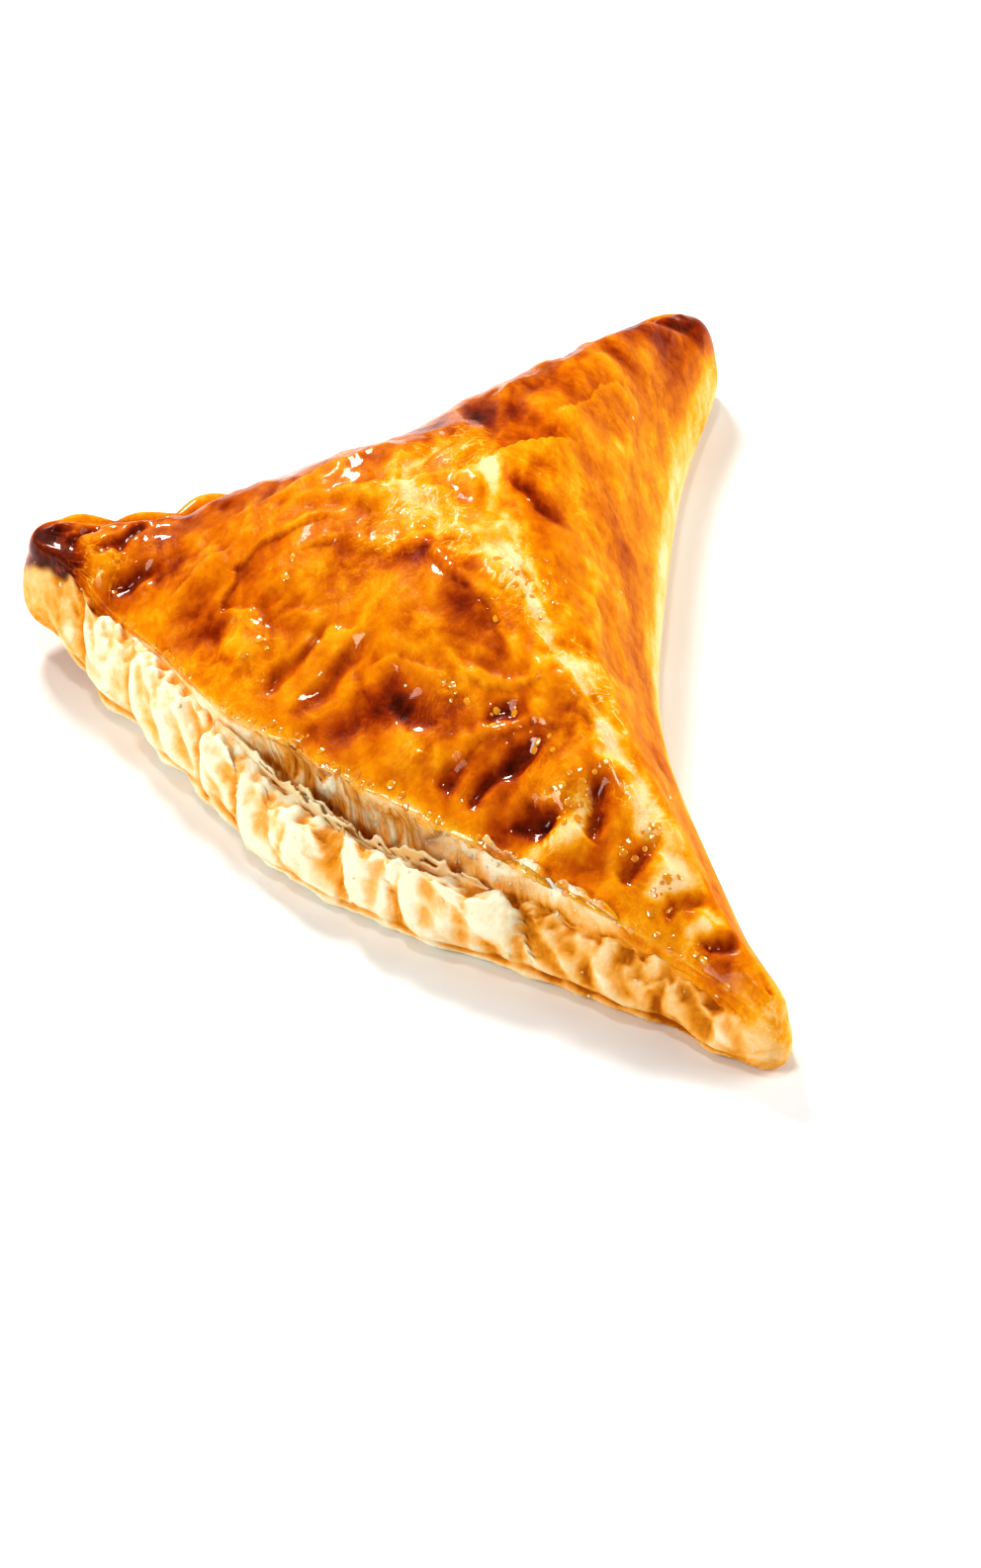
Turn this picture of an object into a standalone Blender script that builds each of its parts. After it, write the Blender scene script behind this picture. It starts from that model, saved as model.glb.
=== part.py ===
"""Potato and mushroom piroshki: a triangular puff pastry turnover that lies on its flat base.

The pastry is one closed body. A square is folded corner to corner over its filling, so one long side is
a smooth steep fold and the other two are cut edges. The front edge has opened in the oven: a pale lumpy
lip stands out below the browned lid, with a ragged gap of layers between them. The back edge is a
scalloped crimp, and each corner runs out into an arm that is pressed shut and lifts off the surface.

The surface is a set of rows that run around the pastry: from the middle of the base, out and up over the
edge, and in over the dome to the ridges where the three sides meet. Sizes are in millimetres.
"""
import math

import bmesh
import bpy
import numpy as np
from mathutils import Vector, noise

MM = 0.001

# Plan: the centre of each rounded corner and its radius, then the top of the dome.
CORNERS = {
    "left": ((-56.0, 29.2), 5.6),
    "near": ((31.4, -51.8), 3.4),
    "far": ((26.8, 92.6), 8.0),
}
HUB = (-2.0, 24.0)
SIDES = (("left", "near"), ("near", "far"), ("far", "left"))

# Outward bow of the front, the fold and the back, as the sizes of one, two, three and four half waves.
BOW = {
    "left": (9.6, -0.2, -1.9, 0.0),
    "near": (-13.0, -0.5, -0.2, 0.6),
    "far": (-4.0, 0.0, 0.8, 0.0),
}

# A ridge runs from each corner to the hub: its height at the corner, sideways bend and fullness.
HUB_HEIGHT = 32.5
RIDGE = {
    "left": (11.5, 0.0, 1.25),
    "near": (9.0, 3.5, 0.95),
    "far": (13.0, -2.0, 0.90),
}

# Corners that lift off the surface: the height and how far in the lift reaches.
LIFT = {
    "left": (5.6, 18.0),
    "near": (0.6, 10.0),
    "far": (1.2, 16.0),
}

# Values around the outline: the left corner and three places along the front, the near corner and
# three along the fold, the far corner and three along the back. The first four are heights and sizes,
# the next two say how far the edge is layered or crimped, and the last two shape the dome above it.
LIP_HEIGHT = (10.5, 9.8, 9.6, 9.4, 6.4, 6.0, 6.0, 6.0, 7.0, 7.0, 7.0, 8.5)
LID_HEIGHT = (12.6, 15.6, 16.6, 14.2, 8.2, 11.5, 14.5, 13.5, 11.5, 10.5, 10.5, 13.6)
GAP_WIDTH = (0.8, 2.4, 5.0, 3.2, 0.8, 1.0, 1.0, 1.0, 1.0, 1.0, 1.0, 1.0)
GAP_DEPTH = (0.4, 1.2, 2.6, 1.4, 0.4, 0.4, 0.4, 0.4, 0.4, 0.4, 0.4, 0.4)
LAYERED = (0.7, 1.0, 1.0, 1.0, 0.7, 0.0, 0.0, 0.0, 0.2, 0.0, 0.0, 0.3)
CRIMPED = (0.3, 0.0, 0.0, 0.0, 0.0, 0.0, 0.0, 0.0, 0.4, 1.0, 1.0, 1.0)
FULLNESS = (2.0, 1.7, 1.7, 1.8, 2.0, 2.0, 2.1, 2.0, 1.8, 1.7, 3.0, 2.3)
SOFTNESS = (0.4, 0.45, 0.40, 0.4, 0.3, 0.1, 0.05, 0.1, 0.2, 0.1, 0.05, 0.2)

# Section of the open front from the base up. Each point has its inset, further inset for a millimetre
# of gap, height as shares of the lip's height and the lid's, fall for the gap's depth, and added rise.
OPEN_SHAPE = (
    (4.0, 0.0, 0.00, 0.0, 0.0, 0.0), (1.7, 0.0, 0.04, 0.0, 0.0, 0.0), (0.6, 0.0, 0.20, 0.0, 0.0, 0.0),
    (0.0, 0.0, 0.42, 0.0, 0.0, 0.0), (0.2, 0.0, 0.64, 0.0, 0.0, 0.0), (0.9, 0.0, 0.85, 0.0, 0.0, 0.0),
    (2.2, 0.0, 1.00, 0.0, 0.0, 0.0), (2.2, 0.4, 1.00, 0.0, 0.3, 0.0), (2.2, 0.8, 1.00, 0.0, 1.0, 0.0),
    (2.2, 1.0, 1.00, 0.0, 0.6, 0.0), (2.0, 1.0, 0.50, 0.5, 0.0, -1.0), (1.7, 1.0, 0.00, 1.0, 0.0, -2.4),
    (1.3, 1.0, 0.00, 1.0, 0.0, -1.3), (1.8, 1.0, 0.00, 1.0, 0.0, -0.3), (3.1, 1.0, 0.00, 1.0, 0.0, 0.5),
    (4.8, 1.0, 0.00, 1.0, 0.0, 1.3),
)

# Sections of the fold and the crimped back from the base up: inset and share of the edge's height.
FOLD_SHAPE = (
    (4.0, 0.0), (1.6, 0.03), (0.5, 0.10), (0.05, 0.20), (0.0, 0.30), (0.1, 0.40), (0.35, 0.50), (0.7, 0.60),
    (1.1, 0.70), (1.6, 0.80), (2.1, 0.90), (2.7, 0.99), (3.3, 1.08), (4.0, 1.17), (4.7, 1.25), (5.5, 1.33),
)
CRIMP_SHAPE = (
    (4.0, 0.0), (1.8, 0.03), (0.6, 0.10), (0.1, 0.20), (0.0, 0.32), (0.0, 0.45), (0.1, 0.58), (0.3, 0.70),
    (0.7, 0.82), (1.4, 0.92), (2.4, 0.99), (3.5, 1.00), (4.6, 0.96), (5.8, 0.86), (7.2, 0.80), (8.8, 0.82),
)

# Rows of the surface, counted from the middle of the base: the belly and top of the lip and the edge of
# the lid. Then how far each row follows the lip's lumps, the gap's layers and the back's scallops.
LIP_BELLY = 4
LIP_TOP = 7
LID_EDGE = 13
LIP_SHARES = {2: 0.1, 3: 0.45, 4: 0.85, 5: 1.0, 6: 1.0, 7: 0.9, 8: 0.5}
LAYER_SHARES = {9: 0.5, 10: -1.0, 11: 1.0, 12: -0.6}
SCALLOP_SHARES = {3: 0.2, 4: 0.5, 5: 0.7, 6: 0.9, 7: 1.0, 8: 1.0, 9: 1.0, 10: 1.0, 11: 0.9, 12: 0.7, 13: 0.4}

# Tears and hollows of the front lip: share of the way along the front, half width and depth.
LIP_TEARS = (
    (0.292, 0.022, 1.3), (0.322, 0.010, 1.9), (0.384, 0.010, 1.6), (0.470, 0.012, 0.9), (0.527, 0.022, 1.5),
    (0.552, 0.010, 2.0), (0.592, 0.016, 1.4), (0.616, 0.010, 2.2), (0.690, 0.014, 0.9), (0.750, 0.012, 1.4),
    (0.820, 0.012, 0.9), (0.897, 0.012, 1.2), (0.955, 0.010, 0.8),
)

# Lumps of the lip and ragged edges: size and number of waves. The sag is how far a tear lowers the top.
LIP_LUMP = 0.8
LIP_LUMP_WAVES = (7, 11, 17)
LIP_SAG = 0.35
RAGGED_SIZE = 0.6
RAGGED_WAVES = (13, 23, 31)
WAVE_SHIFT = 1.7

# Scallops that a fork leaves along the back edge.
SCALLOPS = 11
SCALLOP_DEPTH = 1.1
SCALLOP_LEVEL = 0.6

# How soon the front's and the back's relief begins and ends, as shares of the side.
RELIEF_START = 0.07
RELIEF_END = 0.04

# Marks pressed into the lid: plan place, heading in degrees, length, half width and depth. The first
# twelve run in from the front edge, the next few lie on the lid, then the left corner's fork marks.
PRESSED_MARKS = (
    (-36.4, 6.6, 35, 5.0, 1.7, 0.9), (-24.1, -1.8, 47, 9.5, 1.3, 1.0), (-20.6, -6.6, 44, 11.0, 1.2, 0.9),
    (-17.4, -13.4, 20, 3.0, 2.4, 0.9), (-8.5, -13.8, 150, 4.0, 2.0, 0.6), (-5.5, -22.4, 60, 2.0, 1.2, 0.9),
    (0.6, -23.9, 33, 7.0, 1.5, 1.5), (4.4, -29.8, 150, 3.6, 1.7, 1.7), (11.8, -29.9, 80, 3.0, 1.6, 1.3),
    (16.2, -36.2, 36, 4.6, 1.2, 1.3), (21.2, -40.8, 21, 4.6, 1.1, 1.2), (25.6, -45.7, 14, 4.4, 1.1, 1.1),
    (0.9, -16.6, 0, 1.0, 1.5, 1.0), (19.8, -13.4, 85, 4.0, 1.6, 0.9), (3.9, 18.2, 115, 5.0, 1.8, 0.7),
    (27.0, 88.0, 20, 7.0, 1.2, 0.9), (-53.4, 27.4, 60, 4.0, 0.9, 1.0), (-46.4, 26.8, 62, 4.6, 1.0, 1.0),
    (-46.0, 19.6, 25, 4.0, 1.2, 1.1), (-49.6, 24.8, 50, 3.0, 0.9, 0.8), (-57.4, 24.6, 110, 4.6, 2.2, 1.4),
)

# Blisters and swellings of the lid: plan place, radius and height.
BLISTERS = (
    (-10.0, 0.5, 11.0, 1.9), (-26.6, 11.5, 7.2, 1.1), (8.2, -31.6, 3.2, 1.0), (8.4, -26.6, 4.4, 0.9),
    (-51.2, 21.2, 3.6, 1.8), (-5.0, 30.0, 7.5, 1.0), (-38.0, 16.0, 6.5, 0.9), (-31.5, 1.4, 5.0, 0.8),
    (-12.5, -19.0, 5.0, 0.8), (8.0, -14.0, 6.0, 0.7), (15.0, 60.0, 8.0, 0.9), (10.0, 40.0, 9.0, 0.8),
    (19.6, -38.6, 3.0, 0.7), (-22.0, 26.0, 7.0, 0.8), (23.6, -43.2, 2.4, 0.6),
)

# Cracks where the lid stretched along its ridges: the plan points that each one passes.
CRACKS = (
    ((-7.0, 32.0), (-11.3, 22.6), (-6.1, 10.4), (2.1, 2.6), (8.7, -9.5)),
    ((8.7, -9.5), (14.4, -25.0), (19.8, -35.5), (24.4, -43.6)),
    ((-2.5, 25.4), (-0.8, 11.6), (2.1, 2.6)),
)
CRACK_HALF_WIDTH = 1.1
CRACK_DEPTH = 0.7
MARK_SPREAD = 1.8

# A flake of the top layer stands up past this plan line, and fades into the lid behind it.
FLAKE_LINE = ((-3.6, 23.6), (8.4, 33.6))
FLAKE_HEIGHT = 1.1
FLAKE_STEP = 1.2
FLAKE_FADE = 9.0
FLAKE_END = 0.75
FLAKE_END_SLOPE = 0.3

# Gentle unevenness all over the lid: its height, its spacing in plan and the level read from the noise.
UNEVEN_HEIGHT = 0.45
UNEVEN_SPACING = 9.0
UNEVEN_LEVEL = 0.5

# Mesh: steps along each ridge, around each corner and up the dome, then how the rows are evened out.
RIDGE_STEPS = {"left": 28, "near": 28, "far": 14}
FAN_STEPS = 8
FAN_TURN = 0.05
DOME_ROWS = 15
OUTLINE_SMOOTHING = 3
DOME_SMOOTHING = 12
NARROWEST_INSET = 0.72
SQUARENESS = 0.6
RELIEF_ROWS = 3.0

CRUST_COLOUR = (0.62, 0.27, 0.055, 1.0)
CRUST_ROUGHNESS = 0.38
SHARP_ANGLE = math.radians(50.0)


def unit(vectors):
    """Each vector at a length of one."""
    return vectors / np.linalg.norm(vectors, axis=-1, keepdims=True)


def smooth_step(share):
    """Ease from 0 to 1."""
    share = np.clip(share, 0.0, 1.0)
    return share * share * (3.0 - 2.0 * share)


def bump(distance, reach):
    """A round bump: 1 at its middle and 0 past its reach."""
    return smooth_step(1.0 - distance / reach)


def ripple(share, waves):
    """A smooth uneven wave between about -1 and 1."""
    return sum(np.sin(math.pi * count * share + WAVE_SHIFT * count) for count in waves) / len(waves)


def around(values, turn):
    """A smooth closed curve through evenly spaced values, read at a share of the way around."""
    knots = np.asarray(values, float)
    place = (np.asarray(turn, float) % 1.0) * len(knots)
    first = np.floor(place).astype(int)
    share = place - first
    before, start, end, after = (knots[(first + shift) % len(knots)] for shift in (-1, 0, 1, 2))
    slope_in = 0.5 * (end - before)
    slope_out = 0.5 * (after - start)
    rise = end - start
    return (start + slope_in * share + (3 * rise - 2 * slope_in - slope_out) * share ** 2
            + (slope_in + slope_out - 2 * rise) * share ** 3)


def corner_centre(name):
    """Plan centre of a rounded corner."""
    return np.array(CORNERS[name][0])


def side_normal(side):
    """Outward plan normal of the straight line along one side."""
    along = unit(corner_centre(side[1]) - corner_centre(side[0]))
    return np.array((along[1], -along[0]))


def ridge_point(name, share):
    """A plan point on the ridge, at a share of the way from a corner to the hub."""
    start = corner_centre(name)
    along = np.array(HUB) - start
    across = unit(np.array((-along[1], along[0])))
    return start + along * share + across * RIDGE[name][1] * math.sin(math.pi * share)


def ridge_height(name, share):
    """Height of the ridge, at a share of the way from a corner to the hub."""
    tip_height, _, fullness = RIDGE[name]
    return tip_height + (HUB_HEIGHT - tip_height) * math.sin(share * math.pi / 2.0) ** fullness


def fan_stations(index):
    """Stations around the rounded corner where one side ends and the next begins."""
    name = SIDES[index][0]
    centre, radius = corner_centre(name), CORNERS[name][1]
    before, after = side_normal(SIDES[index - 1]), side_normal(SIDES[index])
    first = math.atan2(before[1], before[0])
    sweep = (math.atan2(after[1], after[0]) - first) % (2.0 * math.pi)
    for step in range(FAN_STEPS):
        share = step / FAN_STEPS
        angle = first + sweep * share
        point = centre + radius * np.array((math.cos(angle), math.sin(angle)))
        turn = (index + FAN_TURN * (2.0 * share - 1.0)) / len(SIDES)
        yield point, (name, 0), turn


def side_stations(index):
    """Stations along one side: in along the first corner's ridge, and out along the next one's."""
    start, end = SIDES[index]
    normal = side_normal(SIDES[index])
    first = corner_centre(start) + CORNERS[start][1] * normal
    last = corner_centre(end) + CORNERS[end][1] * normal
    chord = last - first
    middle = (np.array(HUB) - first) @ chord / (chord @ chord)
    steps_in, steps_out = RIDGE_STEPS[start], RIDGE_STEPS[end]
    for step in range(steps_in + steps_out):
        if step <= steps_in:
            along = middle * step / steps_in
            key = (start, step)
        else:
            along = middle + (1.0 - middle) * (step - steps_in) / steps_out
            key = (end, steps_in + steps_out - step)
        bow = sum(size * math.sin((wave + 1) * math.pi * along) for wave, size in enumerate(BOW[start]))
        turn = (index + FAN_TURN + (1.0 - 2.0 * FAN_TURN) * along) / len(SIDES)
        yield first + chord * along + normal * bow, key, turn


def make_stations():
    """Every station around the outline: its plan point, the ridge vertex it climbs to and its turn."""
    stations = []
    for index in range(len(SIDES)):
        stations.extend(fan_stations(index))
        stations.extend(side_stations(index))
    outline = np.array([station[0] for station in stations])
    for _ in range(OUTLINE_SMOOTHING):
        outline = 0.25 * np.roll(outline, 1, 0) + 0.5 * outline + 0.25 * np.roll(outline, -1, 0)
    return outline, [station[1] for station in stations], np.array([station[2] for station in stations])


def side_share(turn, index):
    """Share of the way along one side, below 0 before it and above 1 past it."""
    opposite = (index + 0.5) / len(SIDES) - 0.5
    turn = (turn - opposite) % 1.0 + opposite
    return (turn * len(SIDES) - index - FAN_TURN) / (1.0 - 2.0 * FAN_TURN)


def open_section(lip, lid, gap, depth):
    """Inset and height of each point of the open front's section."""
    return [(inset + per_gap * gap, of_lip * lip + of_lid * lid - of_depth * depth + rise)
            for inset, per_gap, of_lip, of_lid, of_depth, rise in OPEN_SHAPE]


def closed_section(shape, height):
    """Inset and height of each point of a closed edge's section."""
    return [(np.full_like(height, inset), share * height) for inset, share in shape]


def edge_sections(turn):
    """Inset and height of every section point at every station."""
    lip, lid, gap, depth = (around(values, turn) for values in (LIP_HEIGHT, LID_HEIGHT, GAP_WIDTH, GAP_DEPTH))
    layered, crimped = (np.clip(around(values, turn), 0.0, 1.0) for values in (LAYERED, CRIMPED))
    folded = np.clip(1.0 - layered - crimped, 0.0, 1.0)
    total = layered + crimped + folded
    sections = (open_section(lip, lid, gap, depth), closed_section(CRIMP_SHAPE, lid),
                closed_section(FOLD_SHAPE, lid))
    blended = sum((weight / total)[:, None, None] * np.stack([np.stack(point, -1) for point in section], 1)
                  for weight, section in zip((layered, crimped, folded), sections))
    return blended[:, :, 0], blended[:, :, 1]


def make_rows():
    """Rows of points from the middle of the base, out over the edge and up the dome to the ridge."""
    outline, keys, turn = make_stations()
    ridge = np.array([ridge_point(name, step / RIDGE_STEPS[name]) for name, step in keys])
    height = np.array([ridge_height(name, step / RIDGE_STEPS[name]) for name, step in keys])
    inset, rise = edge_sections(turn)
    reach = np.linalg.norm(ridge - outline, axis=1)
    inset = inset * np.minimum(1.0, NARROWEST_INSET * reach / inset[:, -1])[:, None]
    tangent = unit(np.roll(outline, -1, 0) - np.roll(outline, 1, 0))
    inward = np.stack((-tangent[:, 1], tangent[:, 0]), 1)
    inward = unit(SQUARENESS * inward + (1.0 - SQUARENESS) * unit(ridge - outline))

    rows = [np.column_stack((ridge, np.zeros(len(ridge))))]
    for level in range(inset.shape[1]):
        rows.append(np.column_stack((outline + inward * inset[:, level:level + 1], rise[:, level])))
    edge = rows[-1]
    fullness, softness = around(FULLNESS, turn), around(SOFTNESS, turn)
    for row in range(1, DOME_ROWS + 1):
        share = row / DOME_ROWS
        climb = (1.0 - softness) * (1.0 - (1.0 - share) ** fullness) + softness * smooth_step(share)
        plan = edge[:, :2] + (ridge - edge[:, :2]) * share
        rows.append(np.column_stack((plan, edge[:, 2] + (height - edge[:, 2]) * climb)))
    return np.array(rows), keys, turn


def add_edge_relief(rows, turn):
    """Lumps, tears and ragged layers along the open front, and scallops along the back."""
    inward = unit(rows[LIP_TOP + 1][:, :2] - rows[LIP_BELLY][:, :2])
    along = side_share(turn, 0)
    front = smooth_step(along / RELIEF_START) * smooth_step((1.0 - along) / RELIEF_END)
    push = LIP_LUMP * ripple(along, LIP_LUMP_WAVES)
    for place, half_width, depth in LIP_TEARS:
        push = push + depth * bump(np.abs(along - place), half_width)
    ragged = RAGGED_SIZE * ripple(along, RAGGED_WAVES)
    for level, share in LIP_SHARES.items():
        rows[level][:, :2] += inward * (front * push * share)[:, None]
        rows[level][:, 2] -= front * (LIP_SAG * push + ragged) * share ** 2
    for level, share in LAYER_SHARES.items():
        rows[level][:, :2] += inward * (front * ragged * share)[:, None]
    for level in range(LID_EDGE, LID_EDGE + 3):
        rows[level][:, :2] += inward * (front * RAGGED_SIZE * ripple(along + 0.5, RAGGED_WAVES))[:, None]

    back = side_share(turn, 2)
    fluted = smooth_step(back / RELIEF_START) * smooth_step((1.0 - back) / RELIEF_END)
    scallop = fluted * SCALLOP_DEPTH * (np.abs(np.sin(math.pi * SCALLOPS * back)) - SCALLOP_LEVEL)
    for level, share in SCALLOP_SHARES.items():
        rows[level][:, :2] -= inward * (scallop * share)[:, None]
        rows[level][:, 2] += scallop * share
    return rows


def lift_corners(points):
    """Raise each corner off the surface, fading inwards."""
    for name, (height, reach) in LIFT.items():
        distance = np.linalg.norm(points[..., :2] - corner_centre(name), axis=-1)
        points[..., 2] += height * bump(distance, reach)
    return points


def stretch_distance(points, start, end):
    """Plan distance from points to the straight stretch between two places."""
    along = np.asarray(end, float) - start
    share = np.clip((points - start) @ along / (along @ along), 0.0, 1.0)
    return np.linalg.norm(points - (start + share[..., None] * along), axis=-1)


def flake_relief(points):
    """Height of the flake that stands up past its line and fades out behind it."""
    start, end = (np.array(point) for point in FLAKE_LINE)
    along = unit(end - start)
    offset = points - 0.5 * (start + end)
    behind = offset @ np.array((along[1], -along[0]))
    beside = np.abs(offset @ along) / np.linalg.norm(end - start)
    raised = smooth_step(behind / FLAKE_STEP + 0.5) * np.exp(-np.clip(behind, 0.0, None) / FLAKE_FADE)
    return FLAKE_HEIGHT * raised * smooth_step((FLAKE_END - beside) / FLAKE_END_SLOPE)


def lid_relief(points):
    """Height to add to the lid at each plan point."""
    relief = flake_relief(points)
    for x, y, heading, length, half_width, depth in PRESSED_MARKS:
        angle = math.radians(heading)
        reach = 0.5 * length * np.array((math.cos(angle), math.sin(angle)))
        distance = stretch_distance(points, (x, y) - reach, (x, y) + reach)
        relief -= depth * bump(distance, MARK_SPREAD * half_width)
    for x, y, radius, height in BLISTERS:
        relief += height * bump(np.linalg.norm(points - (x, y), axis=1), radius)
    for crack in CRACKS:
        stretches = [stretch_distance(points, np.array(start), end) for start, end in zip(crack, crack[1:])]
        relief -= CRACK_DEPTH * bump(np.min(stretches, 0), MARK_SPREAD * CRACK_HALF_WIDTH)
    for index, (x, y) in enumerate(points / UNEVEN_SPACING):
        relief[index] += UNEVEN_HEIGHT * noise.noise((x, y, UNEVEN_LEVEL))
    return relief


def shape_lid(shell, share_of_relief):
    """Even out the dome, then press its marks and raise its blisters."""
    movable = [vertex for vertex in shell.verts if vertex in share_of_relief]
    for _ in range(DOME_SMOOTHING):
        bmesh.ops.smooth_vert(shell, verts=movable, factor=0.5, use_axis_x=True, use_axis_y=True,
                              use_axis_z=True)
    plan = np.array([vertex.co[:2] for vertex in movable])
    for vertex, height in zip(movable, lid_relief(plan)):
        vertex.co.z += height * share_of_relief[vertex]


def centre_on_base(shell):
    """Move the origin to the middle of the base, and turn millimetres into metres."""
    places = np.array([vertex.co for vertex in shell.verts])
    lowest, highest = places.min(0), places.max(0)
    middle = Vector((0.5 * (lowest[0] + highest[0]), 0.5 * (lowest[1] + highest[1]), lowest[2]))
    for vertex in shell.verts:
        vertex.co = (vertex.co - middle) * MM


def join_rows(shell, rows, keys):
    """Vertices and faces of the rows. The first and last row are shared by the sides that meet there."""
    shared = {}

    def ridge_vertex(row, station):
        name, step = keys[station]
        key = (row, "hub") if step == RIDGE_STEPS[name] else (row, name, step)
        if key not in shared:
            shared[key] = shell.verts.new(rows[row, station])
        return shared[key]

    last = len(rows) - 1
    count = len(keys)
    grid = []
    for row, points in enumerate(rows):
        if row in (0, last):
            grid.append([ridge_vertex(row, station) for station in range(count)])
        else:
            grid.append([shell.verts.new(point) for point in points])
    for row in range(last):
        for station in range(count):
            following = (station + 1) % count
            corners = (grid[row][station], grid[row][following],
                       grid[row + 1][following], grid[row + 1][station])
            distinct = list(dict.fromkeys(corners))
            if len(distinct) > 2:
                shell.faces.new(distinct)
    return grid


def make_body(name):
    """The whole pastry as one closed mesh."""
    rows, keys, turn = make_rows()
    rows = lift_corners(add_edge_relief(rows, turn))
    shell = bmesh.new()
    grid = join_rows(shell, rows, keys)
    share_of_relief = {}
    for row in range(LID_EDGE + 2, len(rows)):
        for vertex in grid[row]:
            share_of_relief[vertex] = min(1.0, (row - LID_EDGE - 1) / RELIEF_ROWS)
    shape_lid(shell, share_of_relief)
    centre_on_base(shell)
    bmesh.ops.recalc_face_normals(shell, faces=shell.faces)
    bmesh.ops.triangulate(shell, faces=shell.faces, quad_method="SHORT_EDGE")
    mesh = bpy.data.meshes.new(name)
    shell.to_mesh(mesh)
    shell.free()
    mesh.shade_smooth()
    mesh.set_sharp_from_angle(angle=SHARP_ANGLE)
    body = bpy.data.objects.new(name, mesh)
    bpy.context.scene.collection.objects.link(body)
    return body


def make_crust_material():
    """Baked puff pastry under egg wash."""
    material = bpy.data.materials.new("golden crust")
    material.use_nodes = True
    shader = material.node_tree.nodes["Principled BSDF"]
    shader.inputs["Base Color"].default_value = CRUST_COLOUR
    shader.inputs["Roughness"].default_value = CRUST_ROUGHNESS
    shader.inputs["Metallic"].default_value = 0.0
    return material


def main():
    """Clear the scene and build the pastry."""
    for thing in list(bpy.data.objects):
        bpy.data.objects.remove(thing, do_unlink=True)
    pastry = make_body("pastry")
    pastry.data.materials.append(make_crust_material())


main()
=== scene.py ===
"""The looks of a potato and mushroom piroshki, a triangular puff pastry turnover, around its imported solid."""

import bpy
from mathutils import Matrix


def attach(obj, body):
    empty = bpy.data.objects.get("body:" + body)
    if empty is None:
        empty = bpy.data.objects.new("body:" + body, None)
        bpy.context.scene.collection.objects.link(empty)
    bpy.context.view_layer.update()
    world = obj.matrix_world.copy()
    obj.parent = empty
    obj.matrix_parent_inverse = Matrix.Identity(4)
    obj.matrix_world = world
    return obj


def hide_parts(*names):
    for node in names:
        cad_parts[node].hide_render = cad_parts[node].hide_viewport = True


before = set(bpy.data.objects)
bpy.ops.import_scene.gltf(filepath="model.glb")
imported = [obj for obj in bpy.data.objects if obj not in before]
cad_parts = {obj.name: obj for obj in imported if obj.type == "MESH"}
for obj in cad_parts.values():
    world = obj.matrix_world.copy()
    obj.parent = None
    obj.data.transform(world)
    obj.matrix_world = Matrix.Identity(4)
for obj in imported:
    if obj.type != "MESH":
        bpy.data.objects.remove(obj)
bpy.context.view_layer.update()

import math

import bmesh
import bpy
import numpy as np
from mathutils import Quaternion, Vector, noise

bl_info = {
    "name": "Puff pastry turnover",
    "version": (1, 0, 0),
    "blender": (4, 5, 0),
    "location": "3D View > Sidebar > Pastry",
    "description": "Builds a baked triangular puff pastry turnover with its layers, glaze, crumbs and studio",
    "category": "Object",
}

SOLID = "pastry"
BODY = "root"
MM = 0.001

# The form, in millimetres. Plan: the centre and radius of each rounded corner, then the top of the dome.
CORNERS = {
    "left": ((-56.0, 29.2), 5.6),
    "near": ((31.4, -51.8), 3.4),
    "far": ((26.8, 92.6), 8.0),
}
HUB = (-2.0, 24.0)
SIDES = (("left", "near"), ("near", "far"), ("far", "left"))
FRONT, FOLD, BACK = 0, 1, 2

# Outward bow of the front, the fold and the back, as the sizes of one, two, three and four half waves.
BOW = {
    "left": (9.6, -0.2, -1.9, 0.0),
    "near": (-13.0, -0.5, -0.2, 0.6),
    "far": (-4.0, 0.0, 0.8, 0.0),
}

# A ridge runs from each corner to the hub: its height at the corner, sideways bend and fullness.
RIDGE = {
    "left": (11.5, 0.0, 1.25),
    "near": (9.0, 3.5, 0.95),
    "far": (13.0, -2.0, 0.90),
}

# Corners that lift off the surface: the height and how far in the lift reaches.
LIFT = {
    "left": (5.6, 18.0),
    "near": (0.6, 10.0),
    "far": (1.2, 16.0),
}

# Values around the outline: the left corner and three places along the front, the near corner and
# three along the fold, the far corner and three along the back.
LIP_HEIGHT = (10.5, 13.2, 9.6, 9.4, 6.4, 6.0, 6.0, 6.0, 7.0, 7.0, 7.0, 8.5)
LID_HEIGHT = (12.6, 15.6, 16.6, 14.2, 8.2, 11.5, 14.5, 13.5, 11.5, 10.5, 10.5, 13.6)
GAP_WIDTH = (0.8, 2.4, 5.0, 3.2, 0.8, 1.0, 1.0, 1.0, 1.0, 1.0, 1.0, 1.0)
GAP_DEPTH = (0.4, 1.2, 2.6, 1.4, 0.4, 0.4, 0.4, 0.4, 0.4, 0.4, 0.4, 0.4)
LAYERED = (0.7, 1.0, 1.0, 1.0, 0.7, 0.0, 0.0, 0.0, 0.2, 0.0, 0.0, 0.3)
CRIMPED = (0.3, 0.0, 0.0, 0.0, 0.0, 0.0, 0.0, 0.0, 0.4, 1.0, 1.0, 1.0)
FULLNESS = (2.0, 1.7, 1.7, 1.8, 2.0, 2.0, 2.1, 2.0, 1.8, 1.7, 3.0, 2.3)
SOFTNESS = (0.4, 0.45, 0.40, 0.4, 0.3, 0.1, 0.05, 0.1, 0.2, 0.1, 0.05, 0.2)

# The gap opens past this share of the front, over this further share, and is this wide before it.
GAP_START = 0.30
GAP_EASE = 0.14
GAP_END = 0.89
GAP_END_EASE = 0.26
GAP_CLOSED = 0.5

# The row above which the egg wash covers the edge, around the outline in the same way.
WASH_ROW = (5.8, 11.2, 12.3, 11.0, 5.5, 2.5, 2.0, 2.5, 4.0, 6.5, 6.0, 6.5)

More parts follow.
